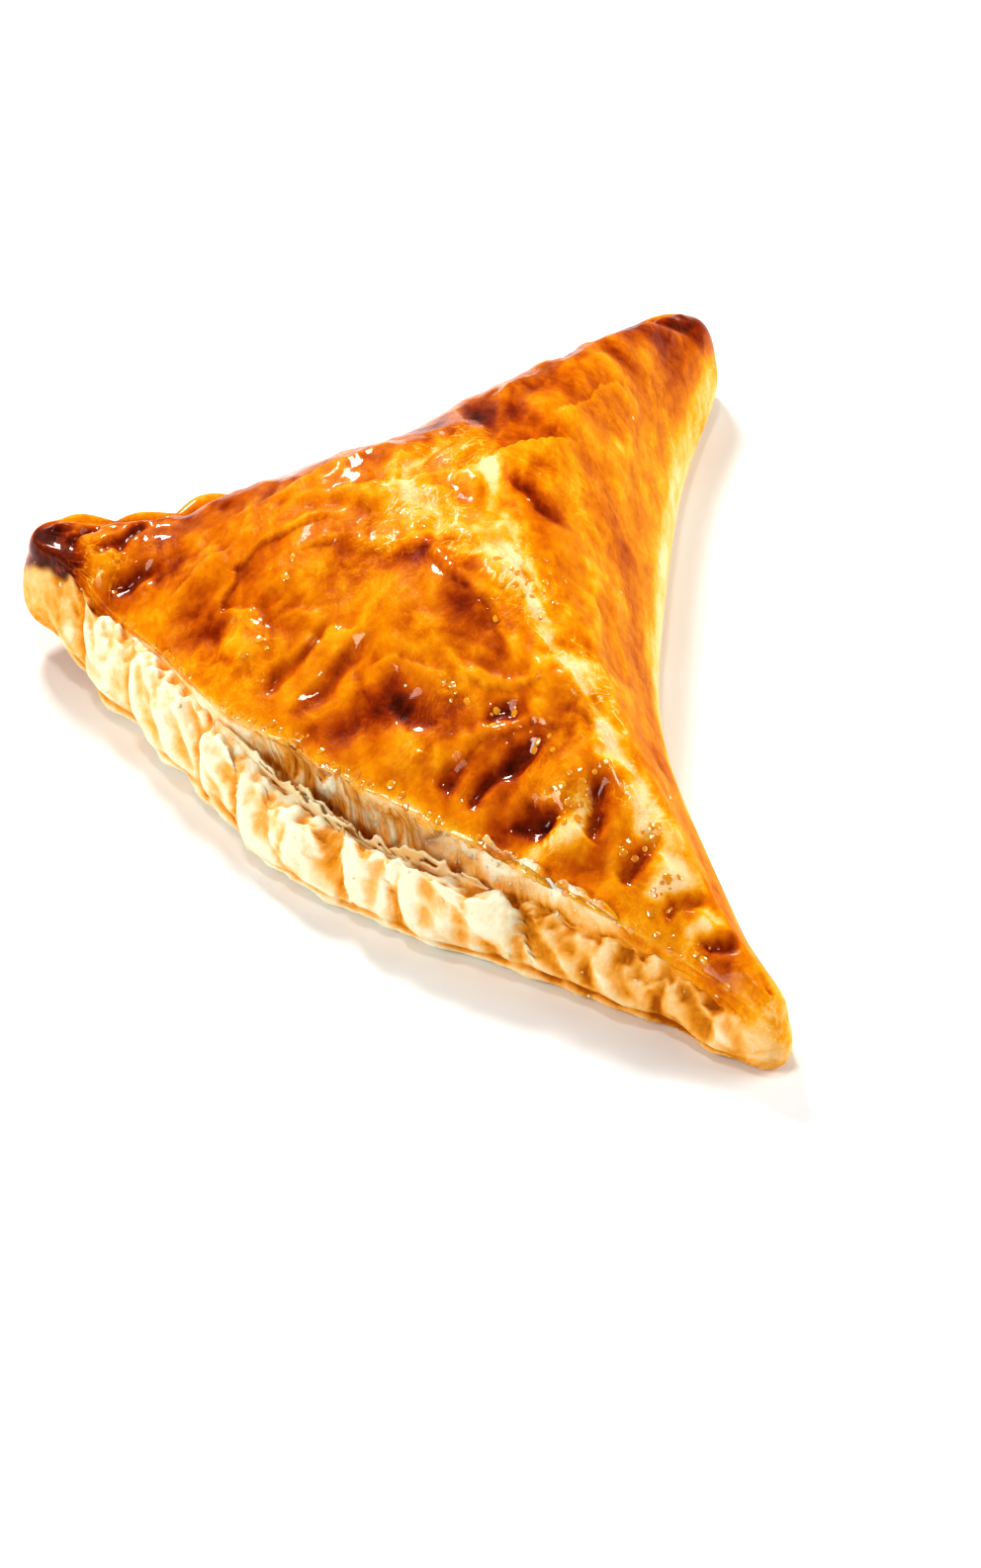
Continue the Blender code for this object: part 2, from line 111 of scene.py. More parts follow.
# Section of the open front from the base up. Each point has its inset, further inset for a millimetre
# of gap, height as shares of the lip's height and the lid's, fall for the gap's depth, and added rise.
OPEN_SHAPE = (
    (4.0, 0.0, 0.00, 0.0, 0.0, 0.0), (1.7, 0.0, 0.04, 0.0, 0.0, 0.0), (0.6, 0.0, 0.20, 0.0, 0.0, 0.0),
    (0.0, 0.0, 0.42, 0.0, 0.0, 0.0), (0.2, 0.0, 0.64, 0.0, 0.0, 0.0), (0.9, 0.0, 0.85, 0.0, 0.0, 0.0),
    (2.2, 0.0, 1.00, 0.0, 0.0, 0.0), (2.2, 0.4, 1.00, 0.0, 0.3, 0.0), (2.2, 0.8, 1.00, 0.0, 1.0, 0.0),
    (2.2, 1.0, 1.00, 0.0, 0.6, 0.0), (2.0, 1.0, 0.50, 0.5, 0.0, -1.0), (1.7, 1.0, 0.00, 1.0, 0.0, -2.4),
    (1.3, 1.0, 0.00, 1.0, 0.0, -1.3), (1.8, 1.0, 0.00, 1.0, 0.0, -0.3), (3.1, 1.0, 0.00, 1.0, 0.0, 0.5),
    (4.8, 1.0, 0.00, 1.0, 0.0, 1.3),
)

# Sections of the fold and the crimped back from the base up: inset and share of the edge's height.
FOLD_SHAPE = (
    (4.0, 0.0), (1.6, 0.03), (0.5, 0.10), (0.05, 0.20), (0.0, 0.30), (0.1, 0.40), (0.35, 0.50), (0.7, 0.60),
    (1.1, 0.70), (1.6, 0.80), (2.1, 0.90), (2.7, 0.99), (3.3, 1.08), (4.0, 1.17), (4.7, 1.25), (5.5, 1.33),
)
CRIMP_SHAPE = (
    (4.0, 0.0), (1.8, 0.03), (0.6, 0.10), (0.1, 0.20), (0.0, 0.32), (0.0, 0.45), (0.1, 0.58), (0.3, 0.70),
    (0.7, 0.82), (1.4, 0.92), (2.4, 0.99), (3.5, 1.00), (4.6, 0.96), (5.8, 0.86), (7.2, 0.80), (8.8, 0.82),
)

# Rows of the surface, counted from the middle of the base: the belly and top of the lip and the edge of
# the lid. Then how far each row follows the lip's lumps, the gap's layers and the back's scallops.
LIP_BELLY = 4
LIP_TOP = 7
LID_EDGE = 13
LIP_SHARES = {2: 0.1, 3: 0.45, 4: 0.85, 5: 1.0, 6: 1.0, 7: 0.9, 8: 0.5, 9: 0.0}
LAYER_SHARES = {8: 0.0, 9: 0.5, 10: -1.0, 11: 1.0, 12: -0.6, 13: 1.0, 15: 1.0, 16: 0.0}
SCALLOP_SHARES = {2: 0.0, 3: 0.2, 4: 0.5, 5: 0.7, 6: 0.9, 7: 1.0, 10: 1.0, 11: 0.9, 12: 0.7, 13: 0.4, 14: 0.0}

# Tears and hollows of the front lip: share of the way along the front, half width and depth.
LIP_TEARS = (
    (0.292, 0.022, 1.3), (0.322, 0.010, 1.9), (0.384, 0.010, 1.6), (0.470, 0.012, 0.9), (0.527, 0.022, 1.5),
    (0.552, 0.010, 2.0), (0.592, 0.016, 1.4), (0.616, 0.010, 2.2), (0.690, 0.014, 0.9), (0.750, 0.012, 1.4),
    (0.820, 0.012, 0.9), (0.897, 0.012, 1.2), (0.955, 0.010, 0.8),
)
TEAR_SHARE = 0.35
LIP_LUMP = 0.7
LIP_LUMP_WAVES = (7, 11, 17)
LIP_SAG = 0.35
WAVE_SHIFT = 1.7

# Ragged layers of the gap: size, waves, how far the lip's top sinks with them and the share of them that
# shows where the gap is shut.
RAGGED_SIZE = 0.6
RAGGED_WAVES = (13, 23, 31)
RAGGED_SAG = 0.6
RAGGED_SHUT = 0.15

# Petals of dough that the lip has opened into: first and last share of the front, how far each stands out,
# its slant for a row and how much higher its top edge stands.
PETALS = (
    (-0.03, 0.11, 1.3, 0.000, -0.2), (0.080, 0.22, 2.4, -0.006, 0.1), (0.180, 0.34, 3.4, -0.008, 0.3),
    (0.314, 0.41, 2.3, -0.003, 1.1), (0.378, 0.49, 2.1, -0.010, 0.1), (0.446, 0.59, 1.7, -0.014, -0.4),
    (0.547, 0.63, 2.6, -0.008, 1.3), (0.604, 0.80, 2.5, -0.012, 1.0), (0.720, 0.90, 1.5, -0.022, 0.2),
    (0.800, 0.98, 1.3, -0.022, 0.1), (0.895, 1.06, 1.2, -0.018, 0.3),
)
PETAL_START = 0.20
PETAL_FALL = 0.55
PETAL_FALL_POWER = 1.5
PETAL_LEVEL = 1.4
PETAL_WANDER = 0.010
# Between the petals the dough is painted darker as painted shade: from this depth of a valley, and in full over
# this further span.
VALLEY_START = 2.1
VALLEY_SPAN = 2.4

# Smooth noise over the front: the spacing of its lumps, the level that it is read at and its octaves.
PETAL_NOISE = (5.0, 15.0)
UNDER_NOISE = (12.0, 9.0)
SWEEP_NOISE = (9.0, 21.0)
FOLD_NOISE = (6.0, 11.0)
PUFF_NOISE = (3.0, 13.0)
BROAD_NOISE = (8.0, 25.0)
LEDGE_NOISE = (1.6, 17.0, 3)
FIBRE_NOISE = (1.0, 19.0, 2)
CREST_NOISE = (2.1, 23.0, 2)
RIM_NOISE = (2.2, 27.0)

# The front's length, the folds that sweep down the lip's face, the puffs and broad lumps on it, and the
# lip's ragged crest.
FRONT_LENGTH = 119.0
FOLD_SWEEP = 2.6
FOLD_STRETCH = 0.8
FOLD_SIZE = 0.70
PUFF_SIZE = 0.32
BROAD_HEIGHT = 1.3
CREST_HEIGHT = 1.3

# Torn fibres over the floor of the gap: spacing along the front, drift and stretch for a row, the level of
# their noise, sharpness and height. Then the stretch of the finer strings that are painted on them as painted
# light and shade.
FIBRE_SPACING = 0.011
FIBRE_DRIFT = 0.007
FIBRE_STRETCH = 0.55
FIBRE_LEVEL = 3.7
FIBRE_SHARPNESS = 2.2
FIBRE_HEIGHT = 0.75
STRING_STRETCH = 0.35

# Rim of the lid, with drips of egg wash: size, mean, variety and how much of it shows where the gap is shut.
RIM_SIZE = 0.7
RIM_MEAN = 0.7
RIM_VARIETY = 0.9
RIM_SHUT = 0.25
RIM_PAINT_SHUT = 0.4

# Deep holes in the gap: plan place, radius and depth.
HOLES = ((-14.7, -20.6, 2.2, 2.4), (-7.4, -25.4, 2.0, 3.0), (-21.0, -14.6, 1.6, 1.6), (-2.6, -28.6, 1.5, 1.6))

# The lower layer of the lip: the row where it parts from the upper one and the groove between them.
UNDER_ROW = 3.1
UNDER_DRIFT = 0.5
UNDER_WIDTH = 0.28
UNDER_DEPTH = 0.55

# How far each row takes part in each kind of relief and paint of the open front.
FACE_ROWS = {1.5: 0.0, 2.5: 1.0, 7.0: 1.0, 9.0: 0.0}
CREST_ROWS = {4.5: 0.0, 6.0: 0.5, 7.0: 1.0, 8.5: 1.0, 9.5: 0.0}
CRUMB_ROWS = {2.5: 0.0, 4.0: 0.3, 6.0: 1.0, 8.5: 1.0, 9.5: 0.2}
LEDGE_ROWS = {9.0: 0.0, 10.0: 1.0, 11.5: 1.0, 12.6: 0.0}
TORN_ROWS = {8.0: 0.0, 9.0: 1.0, 12.2: 1.0, 13.0: 0.3, 13.5: 0.0}
TRENCH_ROWS = {8.0: 0.0, 9.0: 1.0, 11.0: 1.0, 12.5: 0.0}
HOLE_ROWS = {8.6: 0.0, 9.5: 1.0, 12.0: 1.0, 12.9: 0.0}
RIM_ROWS = {12.0: 0.0, 12.7: 1.0, 13.4: 1.0, 14.4: 0.0}
RIM_PAINT_ROWS = {11.4: 0.0, 12.4: 1.0, 13.2: 1.0, 14.4: 0.0}
RIM_DROP_ROWS = {12.8: 0.0, 13.2: 1.0, 13.8: 1.0, 14.4: 0.0}

# Scallops that a fork leaves along the back edge.
SCALLOPS = 11
SCALLOP_DEPTH = 1.1
SCALLOP_LEVEL = 0.6
RELIEF_START = 0.07
RELIEF_END = 0.04

# Marks pressed into the lid: plan place, heading in degrees, length, half width, depth and how far the
# egg wash that pooled there has browned.
PRESSED_MARKS = (
    (-36.4, 6.6, 35, 4.0, 1.8, 0.7, 0.30), (-24.1, -1.8, 47, 8.0, 1.0, 0.8, 0.22),
    (-20.6, -6.6, 44, 10.0, 1.3, 0.7, 0.30), (-17.4, -13.4, 20, 3.0, 2.4, 0.8, 0.40),
    (-8.5, -13.8, 150, 4.0, 2.0, 0.6, 0.30), (-5.5, -22.4, 60, 2.0, 1.2, 0.9, 0.35),
    (0.6, -23.9, 33, 7.0, 1.1, 1.2, 0.45), (4.2, -29.6, 150, 2.2, 1.2, 1.5, 0.65),
    (11.8, -29.9, 80, 2.0, 1.0, 1.2, 0.50), (16.6, -35.9, 36, 3.6, 0.8, 1.0, 0.45),
    (21.8, -40.6, 21, 3.8, 0.75, 0.9, 0.50), (26.2, -45.5, 14, 3.6, 0.75, 0.9, 0.50),
    (0.9, -16.6, 0, 1.0, 1.5, 1.0, 0.40), (19.8, -13.4, 85, 4.0, 1.6, 0.9, 0.35),
    (3.9, 18.2, 115, 5.0, 1.8, 0.7, 0.60), (27.0, 88.0, 20, 7.0, 1.2, 0.9, 0.50),
    (-53.4, 27.4, 60, 4.0, 0.9, 1.0, 0.60), (-46.4, 26.8, 62, 4.6, 1.0, 1.0, 0.55),
    (-46.0, 19.6, 25, 4.0, 1.2, 1.1, 0.60), (-49.6, 24.8, 50, 3.0, 0.9, 0.8, 0.45),
    (-57.2, 24.0, 112, 6.0, 2.6, 1.4, 0.92),
)

# Blisters and swellings of the lid: plan place, radius and height.
BLISTERS = (
    (-10.0, 0.5, 11.0, 1.9), (-26.6, 11.5, 7.2, 1.1), (8.2, -31.6, 3.2, 1.0), (8.4, -26.6, 4.4, 0.9),
    (-51.2, 21.2, 3.6, 1.8), (-5.0, 30.0, 7.5, 1.0), (-38.0, 16.0, 6.5, 0.9), (-31.5, 1.4, 5.0, 0.8),
    (-12.5, -19.0, 5.0, 0.8), (8.0, -14.0, 6.0, 0.7), (15.0, 60.0, 8.0, 0.9), (10.0, 40.0, 9.0, 0.8),
    (19.6, -38.6, 3.0, 0.7), (-22.0, 26.0, 7.0, 0.8), (23.6, -43.2, 2.4, 0.6),
)

# Cracks where the lid stretched along its ridges: the plan points that each one passes.
CRACKS = (
    ((-7.0, 32.0), (-11.3, 22.6), (-6.1, 10.4), (2.1, 2.6), (8.7, -9.5)),
    ((8.7, -9.5), (14.4, -25.0), (19.8, -35.5), (24.4, -43.6)),
    ((-2.5, 25.4), (-0.8, 11.6), (2.1, 2.6)),
)

# Creases where the lid steps up past a line and fades back behind it: height, reach and plan points.
CREASES = (
    (0.7, 4.0, ((-23.0, 17.4), (-28.6, 18.0), (-33.2, 14.2), (-33.4, 8.6), (-29.8, 4.6))),
    (0.6, 6.0, ((2.6, -10.4), (-1.6, -2.6), (-6.4, 3.4), (-10.4, 8.8), (-14.8, 11.6), (-19.5, 12.4))),
    (0.6, 3.0, ((6.0, -12.4), (2.4, -13.6), (-2.4, -12.6), (-6.0, -10.4))),
    (0.6, 3.0, ((8.0, -20.6), (3.8, -18.2), (-1.4, -18.4), (-4.6, -20.2))),
    (0.5, 4.0, ((-20.0, 24.0), (-14.4, 21.0), (-8.8, 20.6))),
    (0.5, 4.0, ((-42.0, 13.0), (-37.4, 15.6), (-33.0, 20.4))),
    (0.6, 3.0, ((6.0, -33.0), (9.6, -32.0), (12.6, -33.4))),
    (0.6, 4.0, ((1.0, 6.4), (5.4, 1.0), (7.2, -5.0))),
    (0.5, 5.0, ((8.0, 38.0), (12.0, 47.0), (17.0, 58.0))),
    (0.5, 4.0, ((14.0, 10.0), (12.0, 0.0), (13.6, -10.0))),
    (0.5, 5.0, ((20.0, 60.0), (19.6, 48.0), (17.0, 36.0))),
    (0.4, 5.0, ((0.0, 44.0), (5.0, 54.0), (12.0, 66.0))),
    (0.5, 3.0, ((-44.0, 4.0), (-37.0, 2.0), (-31.0, -3.0))),
    (0.5, 3.0, ((-26.0, 6.0), (-20.0, 2.0), (-14.0, -3.0))),
    (0.5, 3.0, ((-16.0, -6.0), (-10.0, -7.0), (-5.0, -11.0))),
    (0.5, 3.0, ((12.0, -22.0), (9.0, -17.0), (8.0, -12.0))),
    (0.5, 4.0, ((-30.0, 24.0), (-24.0, 27.0), (-16.0, 31.0))),
)
CREASE_STEP = 0.6
CREASE_END = 2.0
CRACK_HALF_WIDTH = 1.1
CRACK_DEPTH = 0.7

# How far past its half width a mark fades out: its relief, and its browning or paleness next to that.
MARK_SPREAD = 1.8
STAIN_SPREAD = 1.3

# How what is drawn on the lid wanders: the spacing, size and level of each set of sideways moves.
CRACK_WANDER = ((7.0, 3.4, 1.3), (2.2, 1.3, 2.9))
CREASE_WANDER = ((6.0, 2.0, 2.7), (2.0, 0.8, 4.3))
MARK_WANDER = ((4.0, 1.3, 5.9),)
STAIN_WANDER = ((9.0, 3.0, 6.1), (2.6, 1.2, 8.7))
SIDEWAYS_LEVELS = (0.0, 7.3)

# A flake of the top layer stands up past this plan line, and fades into the lid behind it.
FLAKE_LINE = ((-3.6, 23.6), (8.4, 33.6))
FLAKE_HEIGHT = 1.5
FLAKE_STEP = 1.2
FLAKE_FADE = 9.0
FLAKE_END = 0.75
FLAKE_END_SLOPE = 0.3

# Unevenness of the lid, wrinkles (spacing, height and level) and pebbles that come in patches.
UNEVEN_HEIGHT = 0.65
UNEVEN_SPACING = 9.0
UNEVEN_LEVEL = 0.5
WRINKLES = ((6.5, 0.40, 4.1), (3.2, 0.26, 2.2))
WRINKLE_STRETCH = (1.0, 0.6)
WRINKLE_WANDER = 2.3
WRINKLE_LEVEL = 5.0
PEBBLE_HEIGHT = 0.18
PEBBLE_SPACING = 1.8
PEBBLE_PATCHES = 7.0
PEBBLE_CONTRAST = 1.6
PEBBLE_LEAST = 0.1

# Mesh: steps along each ridge, around each corner and up the dome, then how the rows are evened out.
RIDGE_STEPS = {"left": 28, "near": 28, "far": 14}
FAN_STEPS = 8
FAN_TURN = 0.05
DOME_ROWS = 15
OUTLINE_SMOOTHING = 3
DOME_SMOOTHING = 12
NARROWEST_INSET = 0.72
SQUARENESS = 0.6
RELIEF_ROWS = 3.0
SUBDIVISIONS = 2
DENSER_ROWS = range(2, 8)

# Browned and pale areas of the lid: plan place, heading, length, half width and change of browning.
BROWNED = (
    (-17.2, -13.7, 15, 5.0, 3.2, 0.20), (-12.0, -10.0, 150, 5.0, 2.8, 0.16),
    (-7.6, -14.0, 150, 6.0, 2.4, 0.16), (-15.0, 10.4, 155, 9.0, 2.4, 0.10),
    (-6.5, 3.6, 130, 9.0, 2.8, 0.28), (-1.0, -5.4, 125, 6.0, 2.2, 0.22), (2.6, -21.0, 30, 8.0, 3.0, 0.14),
    (4.2, -29.6, 150, 4.0, 2.4, 0.12), (12.4, -29.0, 100, 4.0, 2.2, 0.14),
    (-50.0, 24.4, 60, 10.0, 5.4, 0.08), (-45.0, 19.0, 20, 6.0, 2.0, 0.16), (4.0, 17.6, 115, 6.0, 3.0, 0.24),
    (25.0, 92.0, -10, 10.0, 2.6, 0.80), (23.0, 84.0, 40, 8.0, 4.0, 0.18),
    (24.6, -45.4, 120, 12.0, 2.6, 0.14), (-38.0, 10.0, 40, 8.0, 3.0, 0.12),
    (17.0, 22.0, 100, 14.0, 2.4, 0.16), (19.0, 2.0, 95, 14.0, 2.0, 0.14), (8.0, 58.0, 62, 52.0, 9.0, 0.20),
    (-24.0, 34.0, 8, 44.0, 6.0, 0.14), (-57.0, 24.6, 100, 6.0, 3.4, 0.62),
    (-34.0, 27.0, 20, 16.0, 4.0, 0.12), (6.0, 29.0, 40, 10.0, 3.0, 0.10),
)
PALE = (
    (-9.0, 22.0, 70, 18.0, 3.4, 0.11), (-4.0, 10.0, 130, 12.0, 2.8, 0.12), (2.4, 2.0, 125, 9.0, 2.2, 0.16),
    (8.4, -9.6, 120, 10.0, 2.0, 0.20), (13.4, -20.0, 105, 10.0, 1.4, 0.12),
    (17.6, -31.4, 120, 7.0, 1.5, 0.20), (21.0, -42.0, 110, 5.0, 1.3, 0.16),
    # The pale patches between the near dents at (8.2, -31.8), (19.4, -38.2) and (23.8, -43.4) are partly
    # painted reflections on the wet egg wash.
    (8.2, -31.8, 30, 3.6, 1.8, 0.40), (31.6, -54.4, 120, 4.0, 3.0, 0.20),
    (21.0, -46.0, -43, 16.0, 2.2, 0.12), (19.4, -38.2, 30, 2.5, 1.1, 0.42),
    (23.8, -43.4, 20, 2.2, 0.9, 0.40), (-51.2, 21.4, 60, 2.0, 2.6, 0.12),
)
BASE_BROWNING = 0.49
CRACK_PALENESS = 0.40
MARK_BROWNING = 0.72

# The foot of the fold stays pale up to this row, and this many rows later it is golden.
PALE_BAND_ROW = 7.0
PALE_BAND_FADE = 5.5
PALE_BAND_SHARE = 0.75
FOLD_PALENESS = 0.05

# How the edge of the egg wash wanders over the rows: size, spacing and level of each move. Then the rows
# that it fades over.
WASH_WANDER = ((1.3, 5.0, 3.0), (0.8, 1.8, 35.0))
WASH_FADE = 1.6

# How hollows are found: smoothing steps, the depth that counts in full, and the share of each in the whole.
# The colour is painted darker in hollows and lighter on ridges by them: painted shade and painted light.
CAVITIES = ((40, 0.55, 0.6), (8, 0.12, 0.4))

# Stretched egg wash is laced with pale lines around the pale areas, and less so towards the near corner.
LACE_SPREAD = 2.6
LACE_END = -28.0
LACE_FADE = 8.0
LACE_FALL = 0.75

# How much darker the bare dough is painted at the left corner, where it is tanned, and its reach; at the foot
# and its rows, partly tan and partly painted warm light bounced up from below; and past a share of the front
# towards the near corner, partly tan and partly painted shade. The ledge is paler.
CORNER_TAN = 0.36
CORNER_REACH = 20.0
FOOT_TAN_AND_BOUNCE_LIGHT = 0.24
FOOT_ROW = 2.0
FOOT_FADE = 3.0
TIP_TAN_AND_SHADE = 0.38
TIP_START = 0.66
TIP_FADE = 0.22
LEDGE_PALENESS = 0.36

# Painted shade on the floor of the gap, how far painted light on its fibres lightens it, and the darkest that
# the painted shade of a hollow gets.
FLOOR_PAINTED_SHADE = 0.20
FIBRE_PAINTED_LIGHT = 0.50
FIBRE_LEAST = -0.6
DARKEST_HOLLOW_SHADE = 1.2

# Crumbly ledge of layers inside the gap: first and last share of the front, its rise in the gap, the shares
# that it rises over, the height of its crumbs and how far it covers the torn fibres.
LEDGE = (0.60, 0.86)
LEDGE_RISE = 2.7
LEDGE_EASE = 0.04
LEDGE_CRUMB = 1.2
LEDGE_COVER = 0.9

# Thin sheets inside the gap: first and last share of the front, where the foot and the top stand across
# the gap from the lip to the lid, and their heights from the floor of the gap to the lid's edge. Then the
# step of their mesh, how ragged, wavy and torn they are, how thick, and how they end.
SHEETS = (
    (0.33, 0.60, 0.14, 0.05, 0.0, 0.33), (0.42, 0.55, 0.44, 0.38, 0.0, 0.34),
    (0.56, 0.70, 0.30, 0.18, 0.0, 0.34),
)
SHEET_STEP = 0.28
SHEET_LINES = 5.0
SHEET_RAGGED = 0.65
SHEET_WAVE = 0.07
SHEET_HOLE = 0.34
SHEET_THICKNESS = 0.22
SHEET_END = 0.03
SHEET_END_HEIGHT = 0.15

# Noise of the sheets: how fast it is read along the front and up the sheet, and its shift for each sheet.
WAVE_READ = (40.0, 2.0, 3.1, 0.0)
HOLE_READ = (80.0, 3.0, 1.0, 9.0)
TEAR_READ = (55.0, 5.7)

# How thickly crumbs lie on the lip, the ledge and the lid, next to the density that is set.
LIP_CRUMBS = 0.4
LEDGE_CRUMBS = 4.0
LID_CRUMBS = 0.02

# Drops on the rim of the lid: the shares of the front where they start and end, and how fast.
RIM_DROPS_START = (0.08, 0.1)
RIM_DROPS_END = (0.97, 0.05)
DROP_SPREAD = 1.6

# Where drops of egg wash stand on the lid: plan place, radius and how many of the most there can be.
DROPS = (
    (8.7, -28.0, 2.6, 1.0), (-5.0, -14.6, 1.6, 0.8), (0.9, -16.6, 1.6, 1.0), (-4.6, -11.7, 1.0, 1.0),
    (-33.0, 5.0, 0.9, 1.0), (-58.0, 22.6, 1.6, 1.0), (3.0, 1.0, 4.5, 0.5), (-26.6, 11.5, 3.0, 0.4),
    (16.5, -33.0, 2.4, 0.8), (20.0, -40.5, 2.4, 0.8), (23.0, -45.6, 2.4, 0.7), (-52.0, 20.4, 3.4, 0.6),
    (5.5, -20.0, 2.0, 0.7), (-12.4, -18.6, 1.5, 0.7), (-30.0, 0.5, 2.0, 0.4),
)

# Colours from pale to burnt, with what each is for.
COLOURS = {
    "milk": ("Palest bare dough", (0.98, 0.88, 0.66)),
    "cream": ("Pale bare dough", (0.97, 0.69, 0.37)),
    "dough": ("Bare baked dough", (0.93, 0.50, 0.14)),
    # The two darkest dough colours also serve as painted shade, in the floor of the gap, the valleys between
    # petals and other hollows.
    "ochre": ("Dough in the hollows", (0.76, 0.32, 0.025)),
    "toast_and_shade": ("Toasted dough in the deepest hollows", (0.46, 0.14, 0.008)),
    "straw": ("Palest egg wash", (0.96, 0.58, 0.19)),
    "gold": ("Golden egg wash", (0.89, 0.405, 0.010)),
    "amber": ("Amber egg wash", (0.745, 0.262, 0.001)),
    "russet": ("Browning egg wash", (0.56, 0.134, 0.0005)),
    "chestnut": ("Browned egg wash", (0.30, 0.038, 0.0002)),
    "burnt": ("Burnt egg wash", (0.085, 0.007, 0.0002)),
}
LID_STOPS = {"cream": 0.0, "straw": 0.13, "gold": 0.27, "amber": 0.42, "russet": 0.6, "chestnut": 0.8,
             "burnt": 1.0}
DOUGH_STOPS = {"milk": 0.0, "cream": 0.25, "dough": 0.5, "ochre": 0.75, "toast_and_shade": 1.0}
LAYER_STOPS = {"milk": 0.0, "cream": 0.5, "dough": 1.0}
DROP_STOPS = {"gold": 0.35, "amber": 0.65}

# What is kept on the crust for its material.
MASKS = ("wash", "browning", "hollow", "folded", "cavity", "crest", "drops", "tanned", "rim", "torn")

# Patterns on the crust: the size of their lumps in metres, detail, roughness and distortion.
PATTERNS = {
    "patches": (0.010, 6.0, 0.62, 1.1),
    "streaks": (0.0042, 5.0, 0.55, 0.8),
    "specks": (0.0011, 3.0, 0.55, 0.0),
    "mottles": (0.0024, 3.0, 0.55, 1.4),
    "veins": (0.008, 4.0, 0.55, 1.6),
    "fibres": (0.0036, 3.0, 0.55, 1.2),
    "lines": (0.0045, 5.0, 0.55, 2.2),
    "lined areas": (0.012, 2.0, 0.55, 0.0),
    "swirls": (0.0042, 6.0, 0.62, 0.8),
    "strings": (0.0008, 4.0, 0.55, 0.9),
    "wet spots": (0.0013, 2.0, 0.55, 0.0),
    "pools": (0.006, 3.0, 0.55, 0.0),
    "fine grain": (0.0012, 4.0, 0.65, 0.0),
    "wrinkles": (0.0030, 4.0, 0.55, 0.6),
}
STREAK_STRETCH = (1.0, 0.4, 1.0)
STREAK_TURN = 0.7

# Half widths of the thin lines, as shares of the noise that they are drawn from, and the strength of the
# pale fibres in the laced places and everywhere.
LINE_WIDTHS = {"veins": 0.018, "fibres": 0.03, "lines": 0.035}
LACED_FIBRES = 0.12
LOOSE_FIBRES = 0.06

# Levels between which a pattern or the browning sets in.
LEVELS = {"lined areas": (0.48, 0.60), "browning": (0.42, 0.75), "pools": (0.50, 0.60),
          "wet spots": (0.60, 0.68)}

# How far each pattern or mask browns the lid, shades the bare dough and gives the lid a coat of gloss.
# Of these, cavity, hollow and strings are painted shade and painted light, rim is partly painted light,
# and the dough's tan at its tip and foot is partly painted shade and painted warm light.
LID_WEIGHTS = {"browning": 1.0, "patches": 0.52, "streaks": 0.50, "specks": 0.10, "mottles": 0.24,
               "cavity": 0.16, "lines": -0.10, "pale": -0.40, "rim": -0.16}
DOUGH_WEIGHTS = {"swirls": 1.1, "specks": 0.3, "hollow": 0.38, "cavity": 0.42, "tanned": 1.0, "strings": 1.5}
DOUGH_SHADE = 0.27
# The dough is painted lighter along the torn strings and darker between them about this level: painted light
# and painted shade.
STRING_LEVEL = 0.48
COAT_WEIGHTS = {"browning": 0.5, "drops": 0.6, "rim": 0.8, "pools": 0.35}
LACE_DULLNESS = 0.6
FOLD_DULLNESS = 0.6
WET_SHARE = 0.3

# Roughness of the crust, and how far each part changes it. Then the same for the height of its fine relief.
DRY_ROUGHNESS = 0.60
ROUGHNESS_WEIGHTS = {"glossy": -0.22, "wet": -0.30, "specks": 0.15}
HEIGHT_WEIGHTS = {"fine grain": 0.35, "wrinkles": 1.0, "pale": -0.25, "torn strings": 3.0}
BUMP = {"Strength": 0.9, "Distance": 0.00045}

# Scattered lumps: the noise that they are uneven by and their least and most width next to their length.
# Then for crumbs and drops the smallest next to the largest, their height next to their width and how uneven.
LUMP_NOISE = {"Scale": 1.3, "Detail": 2.0}
LUMP_WIDTHS = (0.7, 1.1)
CRUMB_SHAPE = {"Smallest": 0.3, "Flatness": 0.6, "Roughness": 1.4}
DROP_SHAPE = {"Smallest": 0.25, "Flatness": 0.22, "Roughness": 0.6}

# Lights: the place of each from the aim in metres, its size and the setting that holds its power.
LIGHTS = {
    "key": ((-0.25, 0.62, 0.62), 0.16, "key_power"),
    "top": ((-0.12, -0.10, 0.90), 0.09, "top_power"),
    "left fill": ((-0.60, -0.35, 0.45), 0.30, "left_power"),
    "right fill": ((0.70, 0.05, 0.35), 0.60, "right_power"),
}
FLOOR_HALF_SIZE = 3.0


def unit(vectors):
    """Each vector at a length of one."""
    return vectors / np.linalg.norm(vectors, axis=-1, keepdims=True)


def smooth_step(share):
    """Ease from 0 to 1."""
    share = np.clip(share, 0.0, 1.0)
    return share * share * (3.0 - 2.0 * share)


def bump(distance, reach):
    """A round bump: 1 at its middle and 0 past its reach."""
    return smooth_step(1.0 - distance / reach)


def ripple(share, waves):
    """A smooth uneven wave between about -1 and 1."""
    return sum(np.sin(math.pi * count * share + WAVE_SHIFT * count) for count in waves) / len(waves)


def around(values, turn):
    """A smooth closed curve through evenly spaced values, read at a share of the way around."""
    knots = np.asarray(values, float)
    place = (np.asarray(turn, float) % 1.0) * len(knots)
    first = np.floor(place).astype(int)
    share = place - first
    before, start, end, after = (knots[(first + shift) % len(knots)] for shift in (-1, 0, 1, 2))
    slope_in = 0.5 * (end - before)
    slope_out = 0.5 * (after - start)
    rise = end - start
    return (start + slope_in * share + (3 * rise - 2 * slope_in - slope_out) * share ** 2
            + (slope_in + slope_out - 2 * rise) * share ** 3)


def share_at(shares, row):
    """A share given for a few rows, read at any row and 0 outside them."""
    return np.interp(row, list(shares), list(shares.values()), left=0.0, right=0.0)


